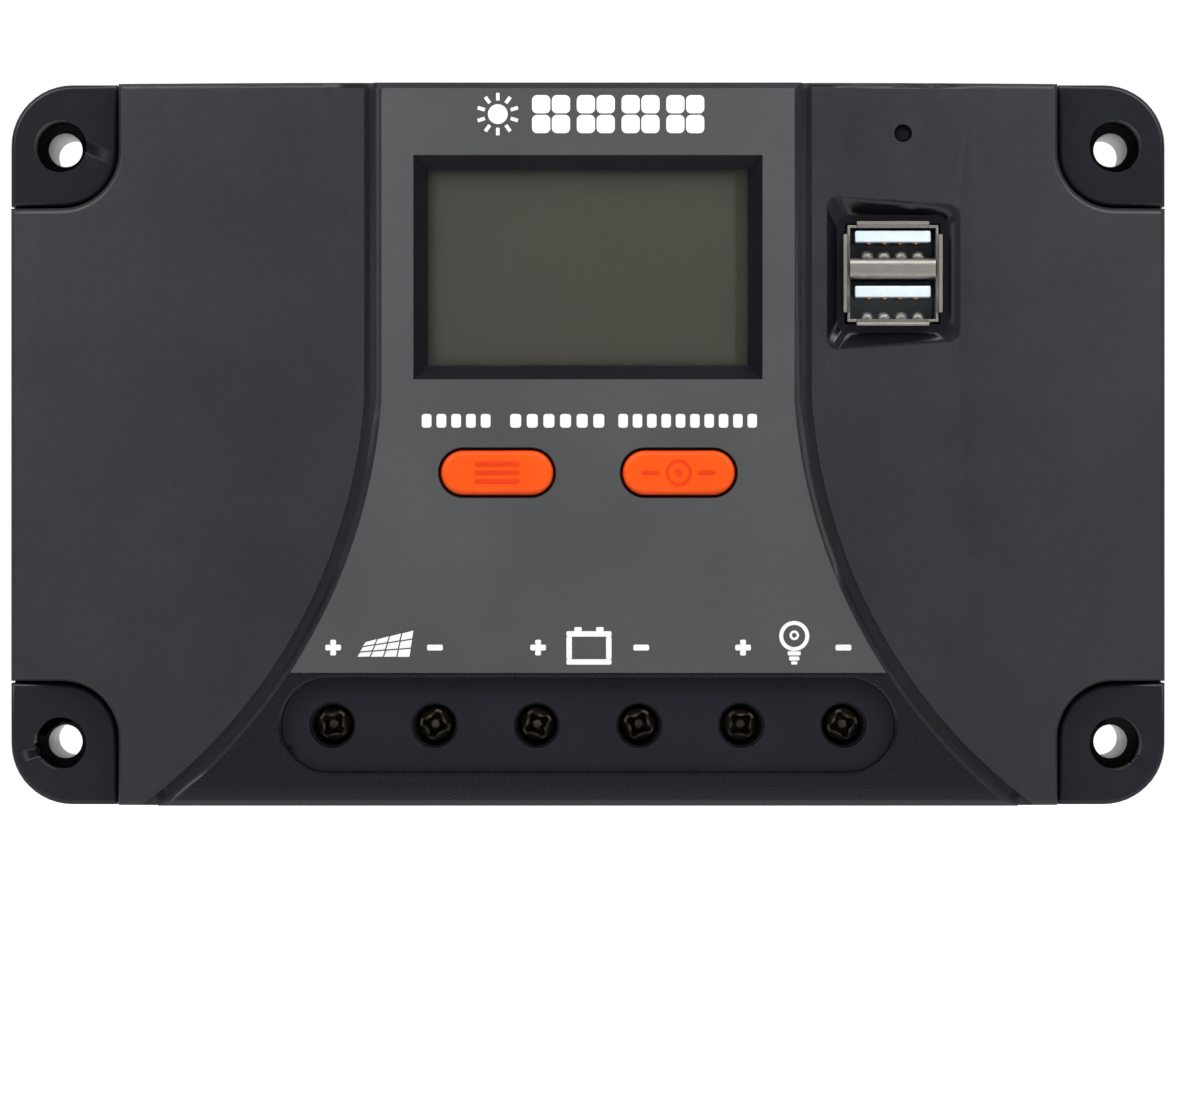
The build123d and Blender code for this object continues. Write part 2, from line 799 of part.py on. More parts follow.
# Main board and the parts on its front
with BuildPart() as main_board:
    with BuildSketch(front_plane(main_board_depth)):
        with Locations((0, main_board_rise)):
            Rectangle(main_board_width, main_board_height)
        with Locations(*standoffs):
            Circle(board_hole_radius, mode=Mode.SUBTRACT)
    extrude(amount=board_thickness)

main_board_screws = screw_set(
    standoffs, back_wall + 2 * screw_root, board_front, m3_radius, m3_head_radius, m3_head_height
)

with BuildPart() as board_header:
    with BuildSketch(front_plane(board_front)):
        with Locations((0, lcd_z + header_rise)):
            Rectangle(header_length, header_width)
    extrude(amount=header_height)

with BuildPart() as header_pins:
    with BuildSketch(front_plane(board_front + header_height)):
        with Locations((0, lcd_z + header_rise)):
            with GridLocations(pin_pitch, pin_pitch, pin_columns, pin_rows):
                Rectangle(pin_size, pin_size)
    extrude(amount=display_board_depth - board_front - header_height)

with BuildPart() as capacitors:
    with BuildSketch(front_plane(board_front)):
        with Locations(*[(capacitor_x, lcd_z - i * capacitor_pitch) for i in range(capacitor_count)]):
            Circle(capacitor_radius)
    extrude(amount=capacitor_height)
    tops = capacitors.edges().filter_by_position(
        Axis.Y, -board_front - capacitor_height - thread_gap, -board_front - capacitor_height + thread_gap
    )
    fillet(tops, capacitor_round)

with BuildPart() as choke:
    with BuildSketch(front_plane(board_front)):
        with Locations((choke_x, bar_end + parts_gap + choke_radius)):
            Circle(choke_radius)
            Circle(choke_bore_radius, mode=Mode.SUBTRACT)
    extrude(amount=choke_height)
    fillet(choke.edges(), choke_round)

with BuildPart() as current_shunt:
    with BuildSketch(Plane.XY.offset(bar_end + parts_gap)):
        with Locations((shunt_x, -board_front - shunt_height / 2)):
            Rectangle(shunt_length, shunt_height)
        with Locations((shunt_x, -board_front - (shunt_height - shunt_thickness) / 2)):
            Rectangle(
                shunt_length - 2 * shunt_thickness, shunt_height - shunt_thickness, mode=Mode.SUBTRACT
            )
    extrude(amount=shunt_width)

with BuildPart() as blade_fuse:
    for base, height, length, width in (
        (board_front, fuse_holder_height, fuse_holder_length, fuse_holder_width),
        (board_front + fuse_holder_height, fuse_height, fuse_length, fuse_width),
    ):
        with BuildSketch(front_plane(base)):
            with Locations((fuse_x, bar_end + parts_gap + fuse_holder_width)):
                Rectangle(length, width)
        extrude(amount=height)

with BuildPart() as controller_chip:
    with BuildSketch(front_plane(board_front)):
        with Locations((0, lcd_z - chip_drop)):
            Rectangle(chip_size, chip_size)
    extrude(amount=chip_height)

with BuildPart() as buzzer:
    with BuildSketch(front_plane(board_front)):
        with Locations((buzzer_x, button_z - buzzer_drop)):
            Circle(buzzer_radius)
    extrude(amount=buzzer_height)
    with BuildSketch(front_plane(board_front + buzzer_height)):
        with Locations((buzzer_x, button_z - buzzer_drop)):
            Circle(sound_hole_radius)
    extrude(amount=-sound_hole_depth, mode=Mode.SUBTRACT)

# Terminals. In each block a captive screw lifts a cage, which squeezes the wire against a fixed bar.
terminal_blocks = []
terminal_screws = []
clamp_cages = []
for x in pole_xs:
    with BuildPart() as block:
        with BuildSketch(front_plane(board_front)):
            with Locations((x, terminal_z + (block_above - block_below) / 2)):
                Rectangle(block_width, block_above + block_below)
        extrude(amount=block_front - board_front)
        with BuildSketch(front_plane(cage_floor - cage_clearance)):
            with Locations((x, terminal_z)):
                Rectangle(cage_width + 2 * cage_clearance, cage_length + 2 * cage_clearance)
        extrude(amount=shelf_depth - shelf_thickness - cage_floor + cage_clearance, mode=Mode.SUBTRACT)
        with BuildSketch(front_plane(shelf_depth)):
            with Locations((x, terminal_z)):
                Circle(screw_head_radius + head_clearance)
        extrude(amount=block_front, mode=Mode.SUBTRACT)
        with BuildSketch(front_plane(board_front)):
            with Locations((x, terminal_z)):
                Circle(screw_radius + screw_fit)
        extrude(amount=block_front, mode=Mode.SUBTRACT)
        with BuildSketch(Plane.XY.offset(terminal_z)):
            with Locations((x, -(cage_floor + cage_base + bar_back) / 2)):
                Rectangle(entry_width, entry_height)
        extrude(amount=-block_below, mode=Mode.SUBTRACT)
        with BuildSketch(Plane.XY.offset(terminal_z)):
            with Locations((x, -(bar_back + bar_front) / 2)):
                Rectangle(bar_width + bar_clearance, bar_thickness + bar_clearance)
        extrude(amount=block_above, mode=Mode.SUBTRACT)
    terminal_blocks.append(block)
    spot = [(x, terminal_z)]
    terminal_screws.append(
        screw_set(spot, screw_tip, shelf_depth, screw_radius, screw_head_radius, screw_head_height)
    )
    with BuildPart() as cage:
        with BuildSketch(front_plane(cage_floor)):
            with Locations((x, terminal_z)):
                Rectangle(cage_width, cage_length)
        extrude(amount=cage_top - cage_floor)
        with BuildSketch(Plane.XY.offset(terminal_z - cage_length / 2)):
            window_depth = (cage_floor + cage_base + cage_top - cage_plate) / 2
            window_height = cage_top - cage_plate - cage_floor - cage_base
            with Locations((x, -window_depth)):
                Rectangle(cage_width - 2 * cage_wall, window_height)
        extrude(amount=cage_length, mode=Mode.SUBTRACT)
        with BuildSketch(front_plane(cage_top - cage_plate)):
            with Locations((x, terminal_z)):
                Circle(screw_radius + screw_fit)
        extrude(amount=cage_plate, mode=Mode.SUBTRACT)
    clamp_cages.append(cage)

with BuildPart() as contact_bars:
    for x in pole_xs:
        with BuildSketch(front_plane(bar_back)):
            with Locations((x, (terminal_z - cage_length / 2 + bar_end) / 2)):
                Rectangle(bar_width, bar_end - terminal_z + cage_length / 2)
        extrude(amount=bar_thickness)
        with BuildSketch(front_plane(board_front)):
            with Locations((x, bar_end - bar_thickness / 2)):
                Rectangle(bar_width, bar_thickness)
        extrude(amount=bar_back - board_front)

# Heat sink behind the main board, with the transistors clamped to it
fin_span = sink_width - 2 * sink_lap - 2 * sink_fit
fin_pitch = (fin_span - fin_thickness) / (fin_count - 1)
transistor_depth = sink_front + pad_thickness
transistor_screw_spots = [(x, sink_rise + tab_hole_rise) for x in transistor_xs]
with BuildPart() as heat_sink:
    with BuildSketch(front_plane(sink_ledge_depth)):
        with Locations((0, sink_rise)):
            Rectangle(sink_width, sink_height)
        with Locations(*sink_screws):
            Circle(m3_radius + hole_gap, mode=Mode.SUBTRACT)
    extrude(amount=sink_plate)
    with BuildSketch(front_plane(sink_ledge_depth)):
        with Locations((0, sink_rise)):
            with GridLocations(fin_pitch, 1, fin_count, 1):
                Rectangle(fin_thickness, sink_height - 2 * sink_lap - 2 * sink_fit)
    extrude(amount=fin_setback - sink_ledge_depth)
    with BuildSketch(front_plane(sink_ledge_depth)):
        with Locations(*transistor_screw_spots):
            Circle(m3_radius + thread_gap)
    extrude(amount=sink_plate, mode=Mode.SUBTRACT)

heat_sink_screws = screw_set(
    sink_screws, 2 * screw_root, sink_front, m3_radius, m3_head_radius, m3_head_height
)

with BuildPart() as insulating_pads:
    with BuildSketch(front_plane(sink_front)):
        with Locations(*[(x, sink_rise) for x in transistor_xs]):
            Rectangle(tab_width + 2 * pad_lap, tab_length + 2 * pad_lap)
        with Locations(*transistor_screw_spots):
            Circle(m3_radius + hole_gap, mode=Mode.SUBTRACT)
    extrude(amount=pad_thickness)

body_z = sink_rise - (tab_length - body_length) / 2
lead_z = sink_rise - tab_length / 2
lead_depth = transistor_depth + lead_rise
with BuildPart() as power_transistors:
    with BuildSketch(front_plane(transistor_depth)):
        with Locations(*[(x, sink_rise) for x in transistor_xs]):
            Rectangle(tab_width, tab_length)
        with Locations(*transistor_screw_spots):
            Circle(m3_radius + hole_gap, mode=Mode.SUBTRACT)
    extrude(amount=tab_thickness)
    with BuildSketch(front_plane(transistor_depth)):
        with Locations(*[(x, body_z) for x in transistor_xs]):
            Rectangle(tab_width, body_length)
    extrude(amount=body_height)
    # each lead comes out of the body and turns towards the board
    for z, length, reach in (
        (lead_z - lead_length / 2, lead_length, lead_thickness),
        (lead_z - lead_length + lead_thickness / 2, lead_thickness, main_board_depth - lead_depth),
    ):
        with BuildSketch(front_plane(lead_depth)):
            with Locations(*[(x, z) for x in transistor_xs]):
                with GridLocations(pin_pitch, 1, lead_count, 1):
                    Rectangle(lead_width, length)
        extrude(amount=reach)

transistor_screws = screw_set(
    transistor_screw_spots,
    sink_ledge_depth,
    transistor_depth + tab_thickness,
    m3_radius,
    m3_head_radius,
    m3_head_height,
)

case_screw_set = screw_set(
    case_screws,
    split_depth + case_screw_reach - thread_gap,
    case_screw_seat,
    m3_radius,
    m3_head_radius,
    m3_head_height,
)

pieces = {
    "rear_housing": rear_housing,
    "front_cover": front_cover,
    "panel_label": panel_label,
    "terminal_guard": terminal_guard,
    "lcd_window": lcd_window,
    "lcd_glass": lcd_glass,
    "lcd_backlight": lcd_backlight,
    "lcd_frame": lcd_frame,
    "display_board": display_board,
    "display_board_screws": display_board_screws,
    "switch_bodies": switch_bodies,
    "usb_shell": usb_shell,
    "usb_insulator": usb_insulator,
    "usb_contacts": usb_contacts,
    "usb_board": usb_board,
    "usb_headers": usb_headers,
    "status_led": status_led,
    "light_pipe": light_pipe,
    "main_board": main_board,
    "main_board_screws": main_board_screws,
    "board_header": board_header,
    "header_pins": header_pins,
    "capacitors": capacitors,
    "choke": choke,
    "current_shunt": current_shunt,
    "blade_fuse": blade_fuse,
    "controller_chip": controller_chip,
    "buzzer": buzzer,
    "contact_bars": contact_bars,
    "heat_sink": heat_sink,
    "heat_sink_screws": heat_sink_screws,
    "insulating_pads": insulating_pads,
    "power_transistors": power_transistors,
    "transistor_screws": transistor_screws,
    "case_screws": case_screw_set,
}
for name in button_xs:
    pieces[f"{name}_button"] = button_caps[name]
    pieces[f"{name}_switch_plunger"] = switch_plungers[name]
for i in range(pole_count):
    pieces[f"terminal_block_{i + 1}"] = terminal_blocks[i]
    pieces[f"terminal_screw_{i + 1}"] = terminal_screws[i]
    pieces[f"clamp_cage_{i + 1}"] = clamp_cages[i]

for name, piece in pieces.items():
    piece.part.label = name
    export_step(piece.part, f"parts/{name}.step")
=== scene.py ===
"""Visual model of a wall-mounted solar charge controller.

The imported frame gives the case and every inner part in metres. New pieces are shaped in
millimetres in the same frame, and brought to metres when they are finished. X runs to the
right, Z up, and the front faces -Y. A depth is a distance from the wall towards the front.
"""

import json
import logging
import math
from abc import ABC, abstractmethod
from dataclasses import dataclass, field
from enum import Enum
from typing import Callable, Dict, List, Optional, Sequence, Tuple, Union

import bmesh
import bpy
from mathutils import Matrix, Vector


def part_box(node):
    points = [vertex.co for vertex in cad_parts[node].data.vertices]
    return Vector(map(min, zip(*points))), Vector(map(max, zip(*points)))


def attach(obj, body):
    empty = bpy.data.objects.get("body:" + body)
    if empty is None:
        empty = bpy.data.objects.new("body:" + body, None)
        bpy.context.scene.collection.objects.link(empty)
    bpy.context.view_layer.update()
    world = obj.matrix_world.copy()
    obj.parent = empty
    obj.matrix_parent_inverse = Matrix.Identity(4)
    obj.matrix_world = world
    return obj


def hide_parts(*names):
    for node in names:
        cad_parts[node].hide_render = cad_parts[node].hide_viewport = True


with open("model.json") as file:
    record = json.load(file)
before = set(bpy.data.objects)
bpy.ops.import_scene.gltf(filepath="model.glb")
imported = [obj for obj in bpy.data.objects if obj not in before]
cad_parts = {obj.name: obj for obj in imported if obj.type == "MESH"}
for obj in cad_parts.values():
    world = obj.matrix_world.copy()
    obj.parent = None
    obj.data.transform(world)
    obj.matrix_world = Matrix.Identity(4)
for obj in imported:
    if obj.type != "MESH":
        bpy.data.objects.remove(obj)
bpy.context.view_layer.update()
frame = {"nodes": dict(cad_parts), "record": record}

MM = 0.001
SHADING_WEIGHT = 92
LAMP_AIM = (0.0, -0.03, 0.0)
LOG = logging.getLogger("charge_controller")

Colour = Tuple[float, float, float]
Point = Tuple[float, float, float]
Number = Union[float, "Signal"]


# ---------------------------------------------------------------- shader graphs


class Signal:
    """The output of a node, which takes part in arithmetic."""

    def __init__(self, graph: "Graph", socket: bpy.types.NodeSocket) -> None:
        """Keep the graph and the socket."""
        self.graph = graph
        self.socket = socket

    def _join(self, operation: str, first: Number, second: Number) -> "Signal":
        """One Math node on two values."""
        return self.graph.node("ShaderNodeMath", {"operation": operation}, {0: first, 1: second})

    def __add__(self, other: Number) -> "Signal":
        """self + other."""
        return self._join("ADD", self, other)

    def __radd__(self, other: Number) -> "Signal":
        """other + self."""
        return self._join("ADD", other, self)

    def __sub__(self, other: Number) -> "Signal":
        """self - other."""
        return self._join("SUBTRACT", self, other)

    def __rsub__(self, other: Number) -> "Signal":
        """other - self."""
        return self._join("SUBTRACT", other, self)

    def __mul__(self, other: Number) -> "Signal":
        """self * other."""
        return self._join("MULTIPLY", self, other)

    def __rmul__(self, other: Number) -> "Signal":
        """other * self."""
        return self._join("MULTIPLY", other, self)

    def __abs__(self) -> "Signal":
        """The value without its sign."""
        return self._join("ABSOLUTE", self, 0.0)

    def larger(self, other: Number) -> "Signal":
        """The larger of the two."""
        return self._join("MAXIMUM", self, other)

    def root(self) -> "Signal":
        """The square root."""
        return self._join("POWER", self, 0.5)


class Graph:
    """A material under construction, with one Principled shader."""

    def __init__(self, name: str) -> None:
        """Start an empty material.

        Args:
            name: The material's name.
        """
        self.material = bpy.data.materials.new(name)
        self.material.use_nodes = True
        self.tree = self.material.node_tree
        self.tree.nodes.clear()
        self.shader = self.tree.nodes.new("ShaderNodeBsdfPrincipled")
        output = self.tree.nodes.new("ShaderNodeOutputMaterial")
        self.tree.links.new(self.shader.outputs[0], output.inputs[0])

    def node(
        self,
        kind: str,
        settings: Optional[Dict[str, object]] = None,
        inputs: Optional[Dict[Union[str, int], object]] = None,
        output: Union[str, int] = 0,
    ) -> Signal:
        """Make any node: its settings first, then its inputs.

        Args:
            kind: The node's type.
            settings: Properties of the node.
            inputs: Values or signals by socket name or number.
            output: The socket that the signal stands for.

        Returns:
            The signal of the chosen output.
        """
        made = self.tree.nodes.new(kind)
        for key, value in (settings or {}).items():
            setattr(made, key, value)
        for key, value in (inputs or {}).items():
            self.feed(made.inputs[key], value)
        return Signal(self, made.outputs[output])

    def feed(self, socket: bpy.types.NodeSocket, value: object) -> None:
        """Link a signal to a socket, or set a plain value on it.

        Args:
            socket: The input.
            value: A signal, a number or a colour.
        """
        if isinstance(value, Signal):
            self.tree.links.new(value.socket, socket)
        elif isinstance(value, tuple) and len(value) == 3 and socket.type == "RGBA":
            socket.default_value = (*value, 1.0)
        else:
            socket.default_value = value

    def set(self, **values: object) -> None:
        """Feed the shader's sockets; an underscore in a name stands for a space.

        Args:
            values: The sockets' names with their values or signals.
        """
        for name, value in values.items():
            self.feed(self.shader.inputs[name.replace("_", " ")], value)

    def place(self, scale: Point = (1.0, 1.0, 1.0)) -> Signal:
        """Object coordinates in millimetres, stretched by a scale."""
        raw = self.node("ShaderNodeTexCoord", output="Object")
        return self.node("ShaderNodeMapping", None, {0: raw, 3: tuple(s / MM for s in scale)})

    def axis(self, index: int) -> Signal:
        """One object coordinate in millimetres."""
        return self.node("ShaderNodeSeparateXYZ", None, {0: self.place()}, index)

    def noise(self, size: float, detail: float = 2.0, stretch: Point = (1.0, 1.0, 1.0)) -> Signal:
        """Soft noise between 0 and 1.

        Args:
            size: The size of its features in millimetres.
            detail: How many finer layers it has.
            stretch: Frequency along each axis.

        Returns:
            The noise.
        """
        inputs = {"Vector": self.place(stretch), "Scale": 1.0 / size, "Detail": detail}
        return self.node("ShaderNodeTexNoise", None, inputs)

    def dots(self, size: float, radius: float) -> Signal:
        """Scattered dots: 1 in the middle of each, 0 between them.

        Args:
            size: The mean distance between dots in millimetres.
            radius: Each dot's radius as a share of that distance.

        Returns:
            The mask.
        """
        inputs = {"Vector": self.place(), "Scale": 1.0 / size}
        reach = self.node("ShaderNodeTexVoronoi", None, inputs)
        return self.ramp(reach, radius, 0.0)

    def ramp(self, value: Signal, low: float, high: float) -> Signal:
        """A smooth step from 0 at low to 1 at high."""
        inputs = {"Value": value, "From Min": low, "From Max": high}
        return self.node("ShaderNodeMapRange", {"interpolation_type": "SMOOTHSTEP"}, inputs)

    def mix(self, factor: Number, first: object, second: object) -> Signal:
        """A blend of two colours."""
        settings = {"data_type": "RGBA", "blend_type": "MIX"}
        return self.node("ShaderNodeMix", settings, {0: factor, 6: first, 7: second}, 2)

    def bump(self, height: Signal, depth: float, strength: float = 1.0) -> Signal:
        """A normal from a height.

        Args:
            height: The height, from 0 to 1.
            depth: What a height of 1 stands for, in millimetres.
            strength: How much of it is felt.

        Returns:
            The normal.
        """
        inputs = {"Height": height, "Distance": depth * MM, "Strength": strength}
        return self.node("ShaderNodeBump", None, inputs)


def tone(colour: Colour, factor: float) -> Colour:
    """A colour made lighter or darker by a factor."""
    return tuple(min(1.0, c * factor) for c in colour)


# ---------------------------------------------------------------- finishes


@dataclass(frozen=True)
class Finish(ABC):
    """How a surface looks. The same finish always gives the same material."""

    name: str
    colour: Colour

    @abstractmethod
    def paint(self, graph: Graph) -> None:
        """Build the nodes."""

    def material(self) -> bpy.types.Material:
        """The finish's material, made when it is first asked for."""
        if self.name in bpy.data.materials:
            return bpy.data.materials[self.name]
        graph = Graph(self.name)
        self.paint(graph)
        return graph.material


@dataclass(frozen=True)
class MouldedPlastic(Finish):
    """Plastic from a spark-eroded mould: fine grain, faint clouding and a few specks of dust."""

    roughness: float = 0.5
    specular: float = 0.3
    grain: float = 0.28
    grain_depth: float = 0.012
    specks: float = 0.5
    clouding: float = 0.16

    def paint(self, graph: Graph) -> None:
        """Build the nodes."""
        grain = graph.noise(self.grain, 3.0)
        cloud = graph.noise(14.0, 2.0)
        mottle = graph.noise(1.1, 2.0)
        shade = graph.ramp(cloud * 0.55 + mottle * 0.45, 0.3, 0.7)
        base = graph.mix(shade, tone(self.colour, 1 - self.clouding), tone(self.colour, 1 + self.clouding))
        dark = graph.dots(2.3, 0.09) * self.specks
        base = graph.mix(dark, base, tone(self.colour, 0.35))
        light = graph.dots(3.9, 0.035) * self.specks * 0.5
        base = graph.mix(light, base, tone(self.colour, 3.0))
        graph.set(
            Base_Color=base,
            Roughness=self.roughness - 0.07 + grain * 0.14,
            Specular_IOR_Level=self.specular,
            Normal=graph.bump(grain * 0.8 + mottle * 0.2, self.grain_depth),
        )


@dataclass(frozen=True)
class Zone:
    """A rectangle on the front with round corners; its height may change along its width."""

    x: float
    z: float
    half_width: float
    half_height: float
    corner: float = 0.3
    taper: float = 0.0

    def mask(self, graph: Graph, x: Signal, z: Signal) -> Signal:
        """1 inside the zone and 0 outside.

        Args:
            graph: The material.
            x: The X coordinate.
            z: The Z coordinate.

        Returns:
            The mask.
        """
        across = (abs(x - self.x) - (self.half_width - self.corner)).larger(0.0)
        height = (x - self.x) * self.taper + (self.half_height - self.corner)
        along = (abs(z - self.z) - height).larger(0.0)
        return graph.ramp((across * across + along * along).root(), self.corner + 0.1, self.corner - 0.1)


@dataclass(frozen=True)
class CoverPlastic(MouldedPlastic):
    """Textured plastic, given a higher polish round the display, the sockets and the terminals, with painted
    shade: darker colours in the display and socket recesses and on the panel below the label.
    """

    # painted shade: the darker colour of the recess walls round the display and the sockets
    recess_shade: Colour = (0.0024, 0.0026, 0.005)
    polished_roughness: float = 0.34
    # painted shade: the darker colour of the panel below the label, where less light falls; its lower
    # roughness is a real smoother finish
    smooth: Colour = (0.0018, 0.0018, 0.0045)
    smooth_roughness: float = 0.27
    zones: Tuple[Zone, ...] = (
        Zone(0.0, 25.9, 25.6, 16.45), Zone(44.8, 25.1, 9.85, 10.7, 1.8, -0.069),
    )
    terminal_top: float = -31.8
    flare_x: float = 113.6
    flare_z: float = 12.2
    flare_radius: float = 83.4

    def terminals(self, graph: Graph, x: Signal, z: Signal) -> Signal:
        """1 on the panel below the label, up to the curved edges of the side wings, where the painted shade
        of the lower panel goes.

        Args:
            graph: The material.
            x: The X coordinate.
            z: The Z coordinate.

        Returns:
            The mask.
        """
        across, along = abs(x) - self.flare_x, z - self.flare_z
        distance = (across * across + along * along).root()
        inside = graph.ramp(distance, self.flare_radius - 0.1, self.flare_radius + 0.1)
        return inside * graph.ramp(z, self.terminal_top + 0.1, self.terminal_top - 0.1)

    def paint(self, graph: Graph) -> None:
        """Build the nodes, then give the zones and the panel below the label their polish and their painted
        shade.
        """
        super().paint(graph)
        links = {link.to_socket.name: link.from_socket for link in graph.tree.links}
        x, z = graph.axis(0), graph.axis(2)
        inside = self.zones[0].mask(graph, x, z) + self.zones[1].mask(graph, x, z)
        low = self.terminals(graph, x, z)
        # painted shade on the panel below the label
        base = graph.mix(low, Signal(graph, links["Base Color"]), self.smooth)
        change = inside * (self.polished_roughness - self.roughness)
        change = low * (self.smooth_roughness - self.roughness) + change
        # painted shade: darker colours in the zones and on the panel below the label
        graph.set(
            Base_Color=graph.mix(inside, base, self.recess_shade),
            Roughness=Signal(graph, links["Roughness"]) + change,
        )


@dataclass(frozen=True)
class LabelFilm(Finish):
    """Satin printed film with a very fine tooth."""

    def paint(self, graph: Graph) -> None:
        """Build the nodes."""
        tooth = graph.noise(0.16, 2.0)
        cloud = graph.noise(22.0, 2.0)
        fibres = graph.noise(0.5, 2.0, (0.2, 1.0, 1.0))
        base = graph.mix(graph.ramp(cloud, 0.3, 0.7), tone(self.colour, 0.93), tone(self.colour, 1.06))
        base = graph.mix(graph.ramp(fibres, 0.35, 0.75) * 0.35, base, tone(self.colour, 0.9))
        base = graph.mix(graph.dots(3.1, 0.05) * 0.4, base, tone(self.colour, 1.5))
        graph.set(
            Base_Color=base,
            Roughness=0.48 + tooth * 0.1,
            Specular_IOR_Level=0.12,
            Normal=graph.bump(tooth, 0.004),
        )


@dataclass(frozen=True)
class PrintInk(Finish):
    """Thick screen-printed ink, slightly uneven."""

    def paint(self, graph: Graph) -> None:
        """Build the nodes."""
        cover = graph.noise(0.35, 3.0)
        base = graph.mix(graph.ramp(cover, 0.25, 0.6), tone(self.colour, 0.86), self.colour)
        graph.set(
            Base_Color=base,
            Roughness=0.38 + cover * 0.15,
            Specular_IOR_Level=0.4,
            Normal=graph.bump(cover, 0.006),
        )


@dataclass(frozen=True)
class ButtonPlastic(Finish):
    """Coloured key plastic, satin, a little deeper in tone towards its rim."""

    centre_z: float = -4.2
    half_height: float = 3.25

    def paint(self, graph: Graph) -> None:
        """Build the nodes."""
        grain = graph.noise(0.22, 2.0)
        cloud = graph.noise(5.0, 2.0)
        rim = graph.ramp(abs(graph.axis(2) - self.centre_z), self.half_height * 0.6, self.half_height)
        base = graph.mix(graph.ramp(cloud, 0.3, 0.7), tone(self.colour, 0.94), tone(self.colour, 1.05))
        base = graph.mix(rim * 0.35, base, tone(self.colour, 0.78))
        graph.set(
            Base_Color=base,
            Roughness=0.36 + grain * 0.14,
            Specular_IOR_Level=0.2,
            Normal=graph.bump(grain, 0.006),
        )


@dataclass(frozen=True)
class DisplayFace(Finish):
    """An unlit display: olive grey, cooler to the right, with painted shadow of the bezel as a darker rim
    along its left, top and bottom edges and a darker strip along its right edge.
    """

    right: Colour = (0.0365, 0.0372, 0.0262)
    # painted shadow: the colour of the bezel's shadow along the edges
    rim: Colour = (0.0125, 0.012, 0.0045)
    centre_z: float = 25.9
    half_width: float = 23.45
    half_height: float = 14.35
    shadow_band: float = 1.9

    def paint(self, graph: Graph) -> None:
        """Build the nodes."""
        x = graph.axis(0)
        z = graph.axis(2) - self.centre_z
        # painted shadow of the bezel along the left, top and bottom edges, and in a strip along the right
        # edge
        left = (x * -1.0 - (self.half_width - 1.2)).larger(abs(z) - (self.half_height - 0.8))
        edge = graph.ramp(left, -0.7, 1.0)
        shadow_band = graph.ramp(x, self.half_width - self.shadow_band - 0.15, self.half_width - self.shadow_band + 0.25)
        haze = graph.noise(9.0, 3.0)
        across = graph.ramp(x + haze * 14.0 - 7.0, -20.0, 18.0)
        base = graph.mix(across, self.colour, self.right)
        base = graph.mix(edge.larger(shadow_band) * 0.8, base, self.rim)
        base = graph.mix(graph.dots(6.5, 0.02) * 0.25, base, (0.2, 0.2, 0.17))
        graph.set(
            Base_Color=base,
            Roughness=0.3 + haze * 0.12,
            Specular_IOR_Level=0.25,
        )


@dataclass(frozen=True)
class ClearSheet(Finish):
    """Clear acrylic, seen mostly by its gloss and a trace of dust."""

    alpha: float = 0.1
    roughness: float = 0.08

    def paint(self, graph: Graph) -> None:
        """Build the nodes."""
        dust = graph.dots(2.7, 0.05) * 0.12
        haze = graph.noise(3.0, 3.0)
        graph.set(
            Base_Color=graph.mix(haze, self.colour, tone(self.colour, 1.3)),
            Roughness=self.roughness + haze * 0.06,
            Alpha=self.alpha + dust,
            Specular_IOR_Level=0.5,
        )


@dataclass(frozen=True)
class Metal(Finish):
    """Plated or bare metal, brushed or drawn along one axis, with dull patches."""

    roughness: float = 0.35
    drawn: Point = (1.0, 1.0, 0.12)
    line: float = 0.25
    tarnish: float = 0.35
    metallic: float = 1.0

    def paint(self, graph: Graph) -> None:
        """Build the nodes."""
        lines = graph.noise(self.line, 3.0, self.drawn)
        patches = graph.ramp(graph.noise(1.7, 3.0), 0.42, 0.72) * self.tarnish
        base = graph.mix(lines, tone(self.colour, 0.86), tone(self.colour, 1.12))
        base = graph.mix(patches, base, tone(self.colour, 0.45))
        graph.set(
            Base_Color=base,
            Metallic=self.metallic - patches * 0.4,
            Roughness=self.roughness + lines * 0.12 + patches * 0.25,
            Normal=graph.bump(lines, 0.006),
        )


@dataclass(frozen=True)
class CircuitBoard(Finish):
    """Solder mask over copper: raised tracks, a ground fill and tinned pads."""

    mask_bare: Colour = (0.008, 0.06, 0.022)
    tin: Colour = (0.55, 0.55, 0.5)

    def paint(self, graph: Graph) -> None:
        """Build the nodes."""
        inputs = {"Vector": graph.place(), "Scale": 0.22}
        tracks = graph.node("ShaderNodeTexVoronoi", {"feature": "DISTANCE_TO_EDGE"}, inputs)
        copper = graph.ramp(tracks, 0.09, 0.12)
        pads = graph.dots(2.54, 0.2)
        tinned = graph.ramp(pads, 0.3, 0.5)
        base = graph.mix(copper, self.mask_bare, self.colour)
        base = graph.mix(tinned, base, self.tin)
        graph.set(
            Base_Color=base,
            Metallic=tinned * 0.9,
            Roughness=0.32 + graph.noise(0.6) * 0.1,
            Coat_Weight=0.4 - pads * 0.4,
            Normal=graph.bump(copper * 0.6 + pads * 0.4, 0.04),
        )


@dataclass(frozen=True)
class Sleeve(Finish):
    """Shrink sleeve with a pale polarity stripe on one side."""

    stripe: Colour = (0.45, 0.47, 0.5)
    stripe_x: float = -54.6

    def paint(self, graph: Graph) -> None:
        """Build the nodes."""
        mark = graph.ramp(graph.axis(0), self.stripe_x + 0.15, self.stripe_x - 0.15)
        wrinkle = graph.noise(1.6, 2.0, (1.0, 0.3, 1.0))
        graph.set(
            Base_Color=graph.mix(mark, graph.mix(wrinkle, tone(self.colour, 0.8), self.colour), self.stripe),
            Roughness=0.28 + wrinkle * 0.1,
            Normal=graph.bump(wrinkle, 0.03),
        )


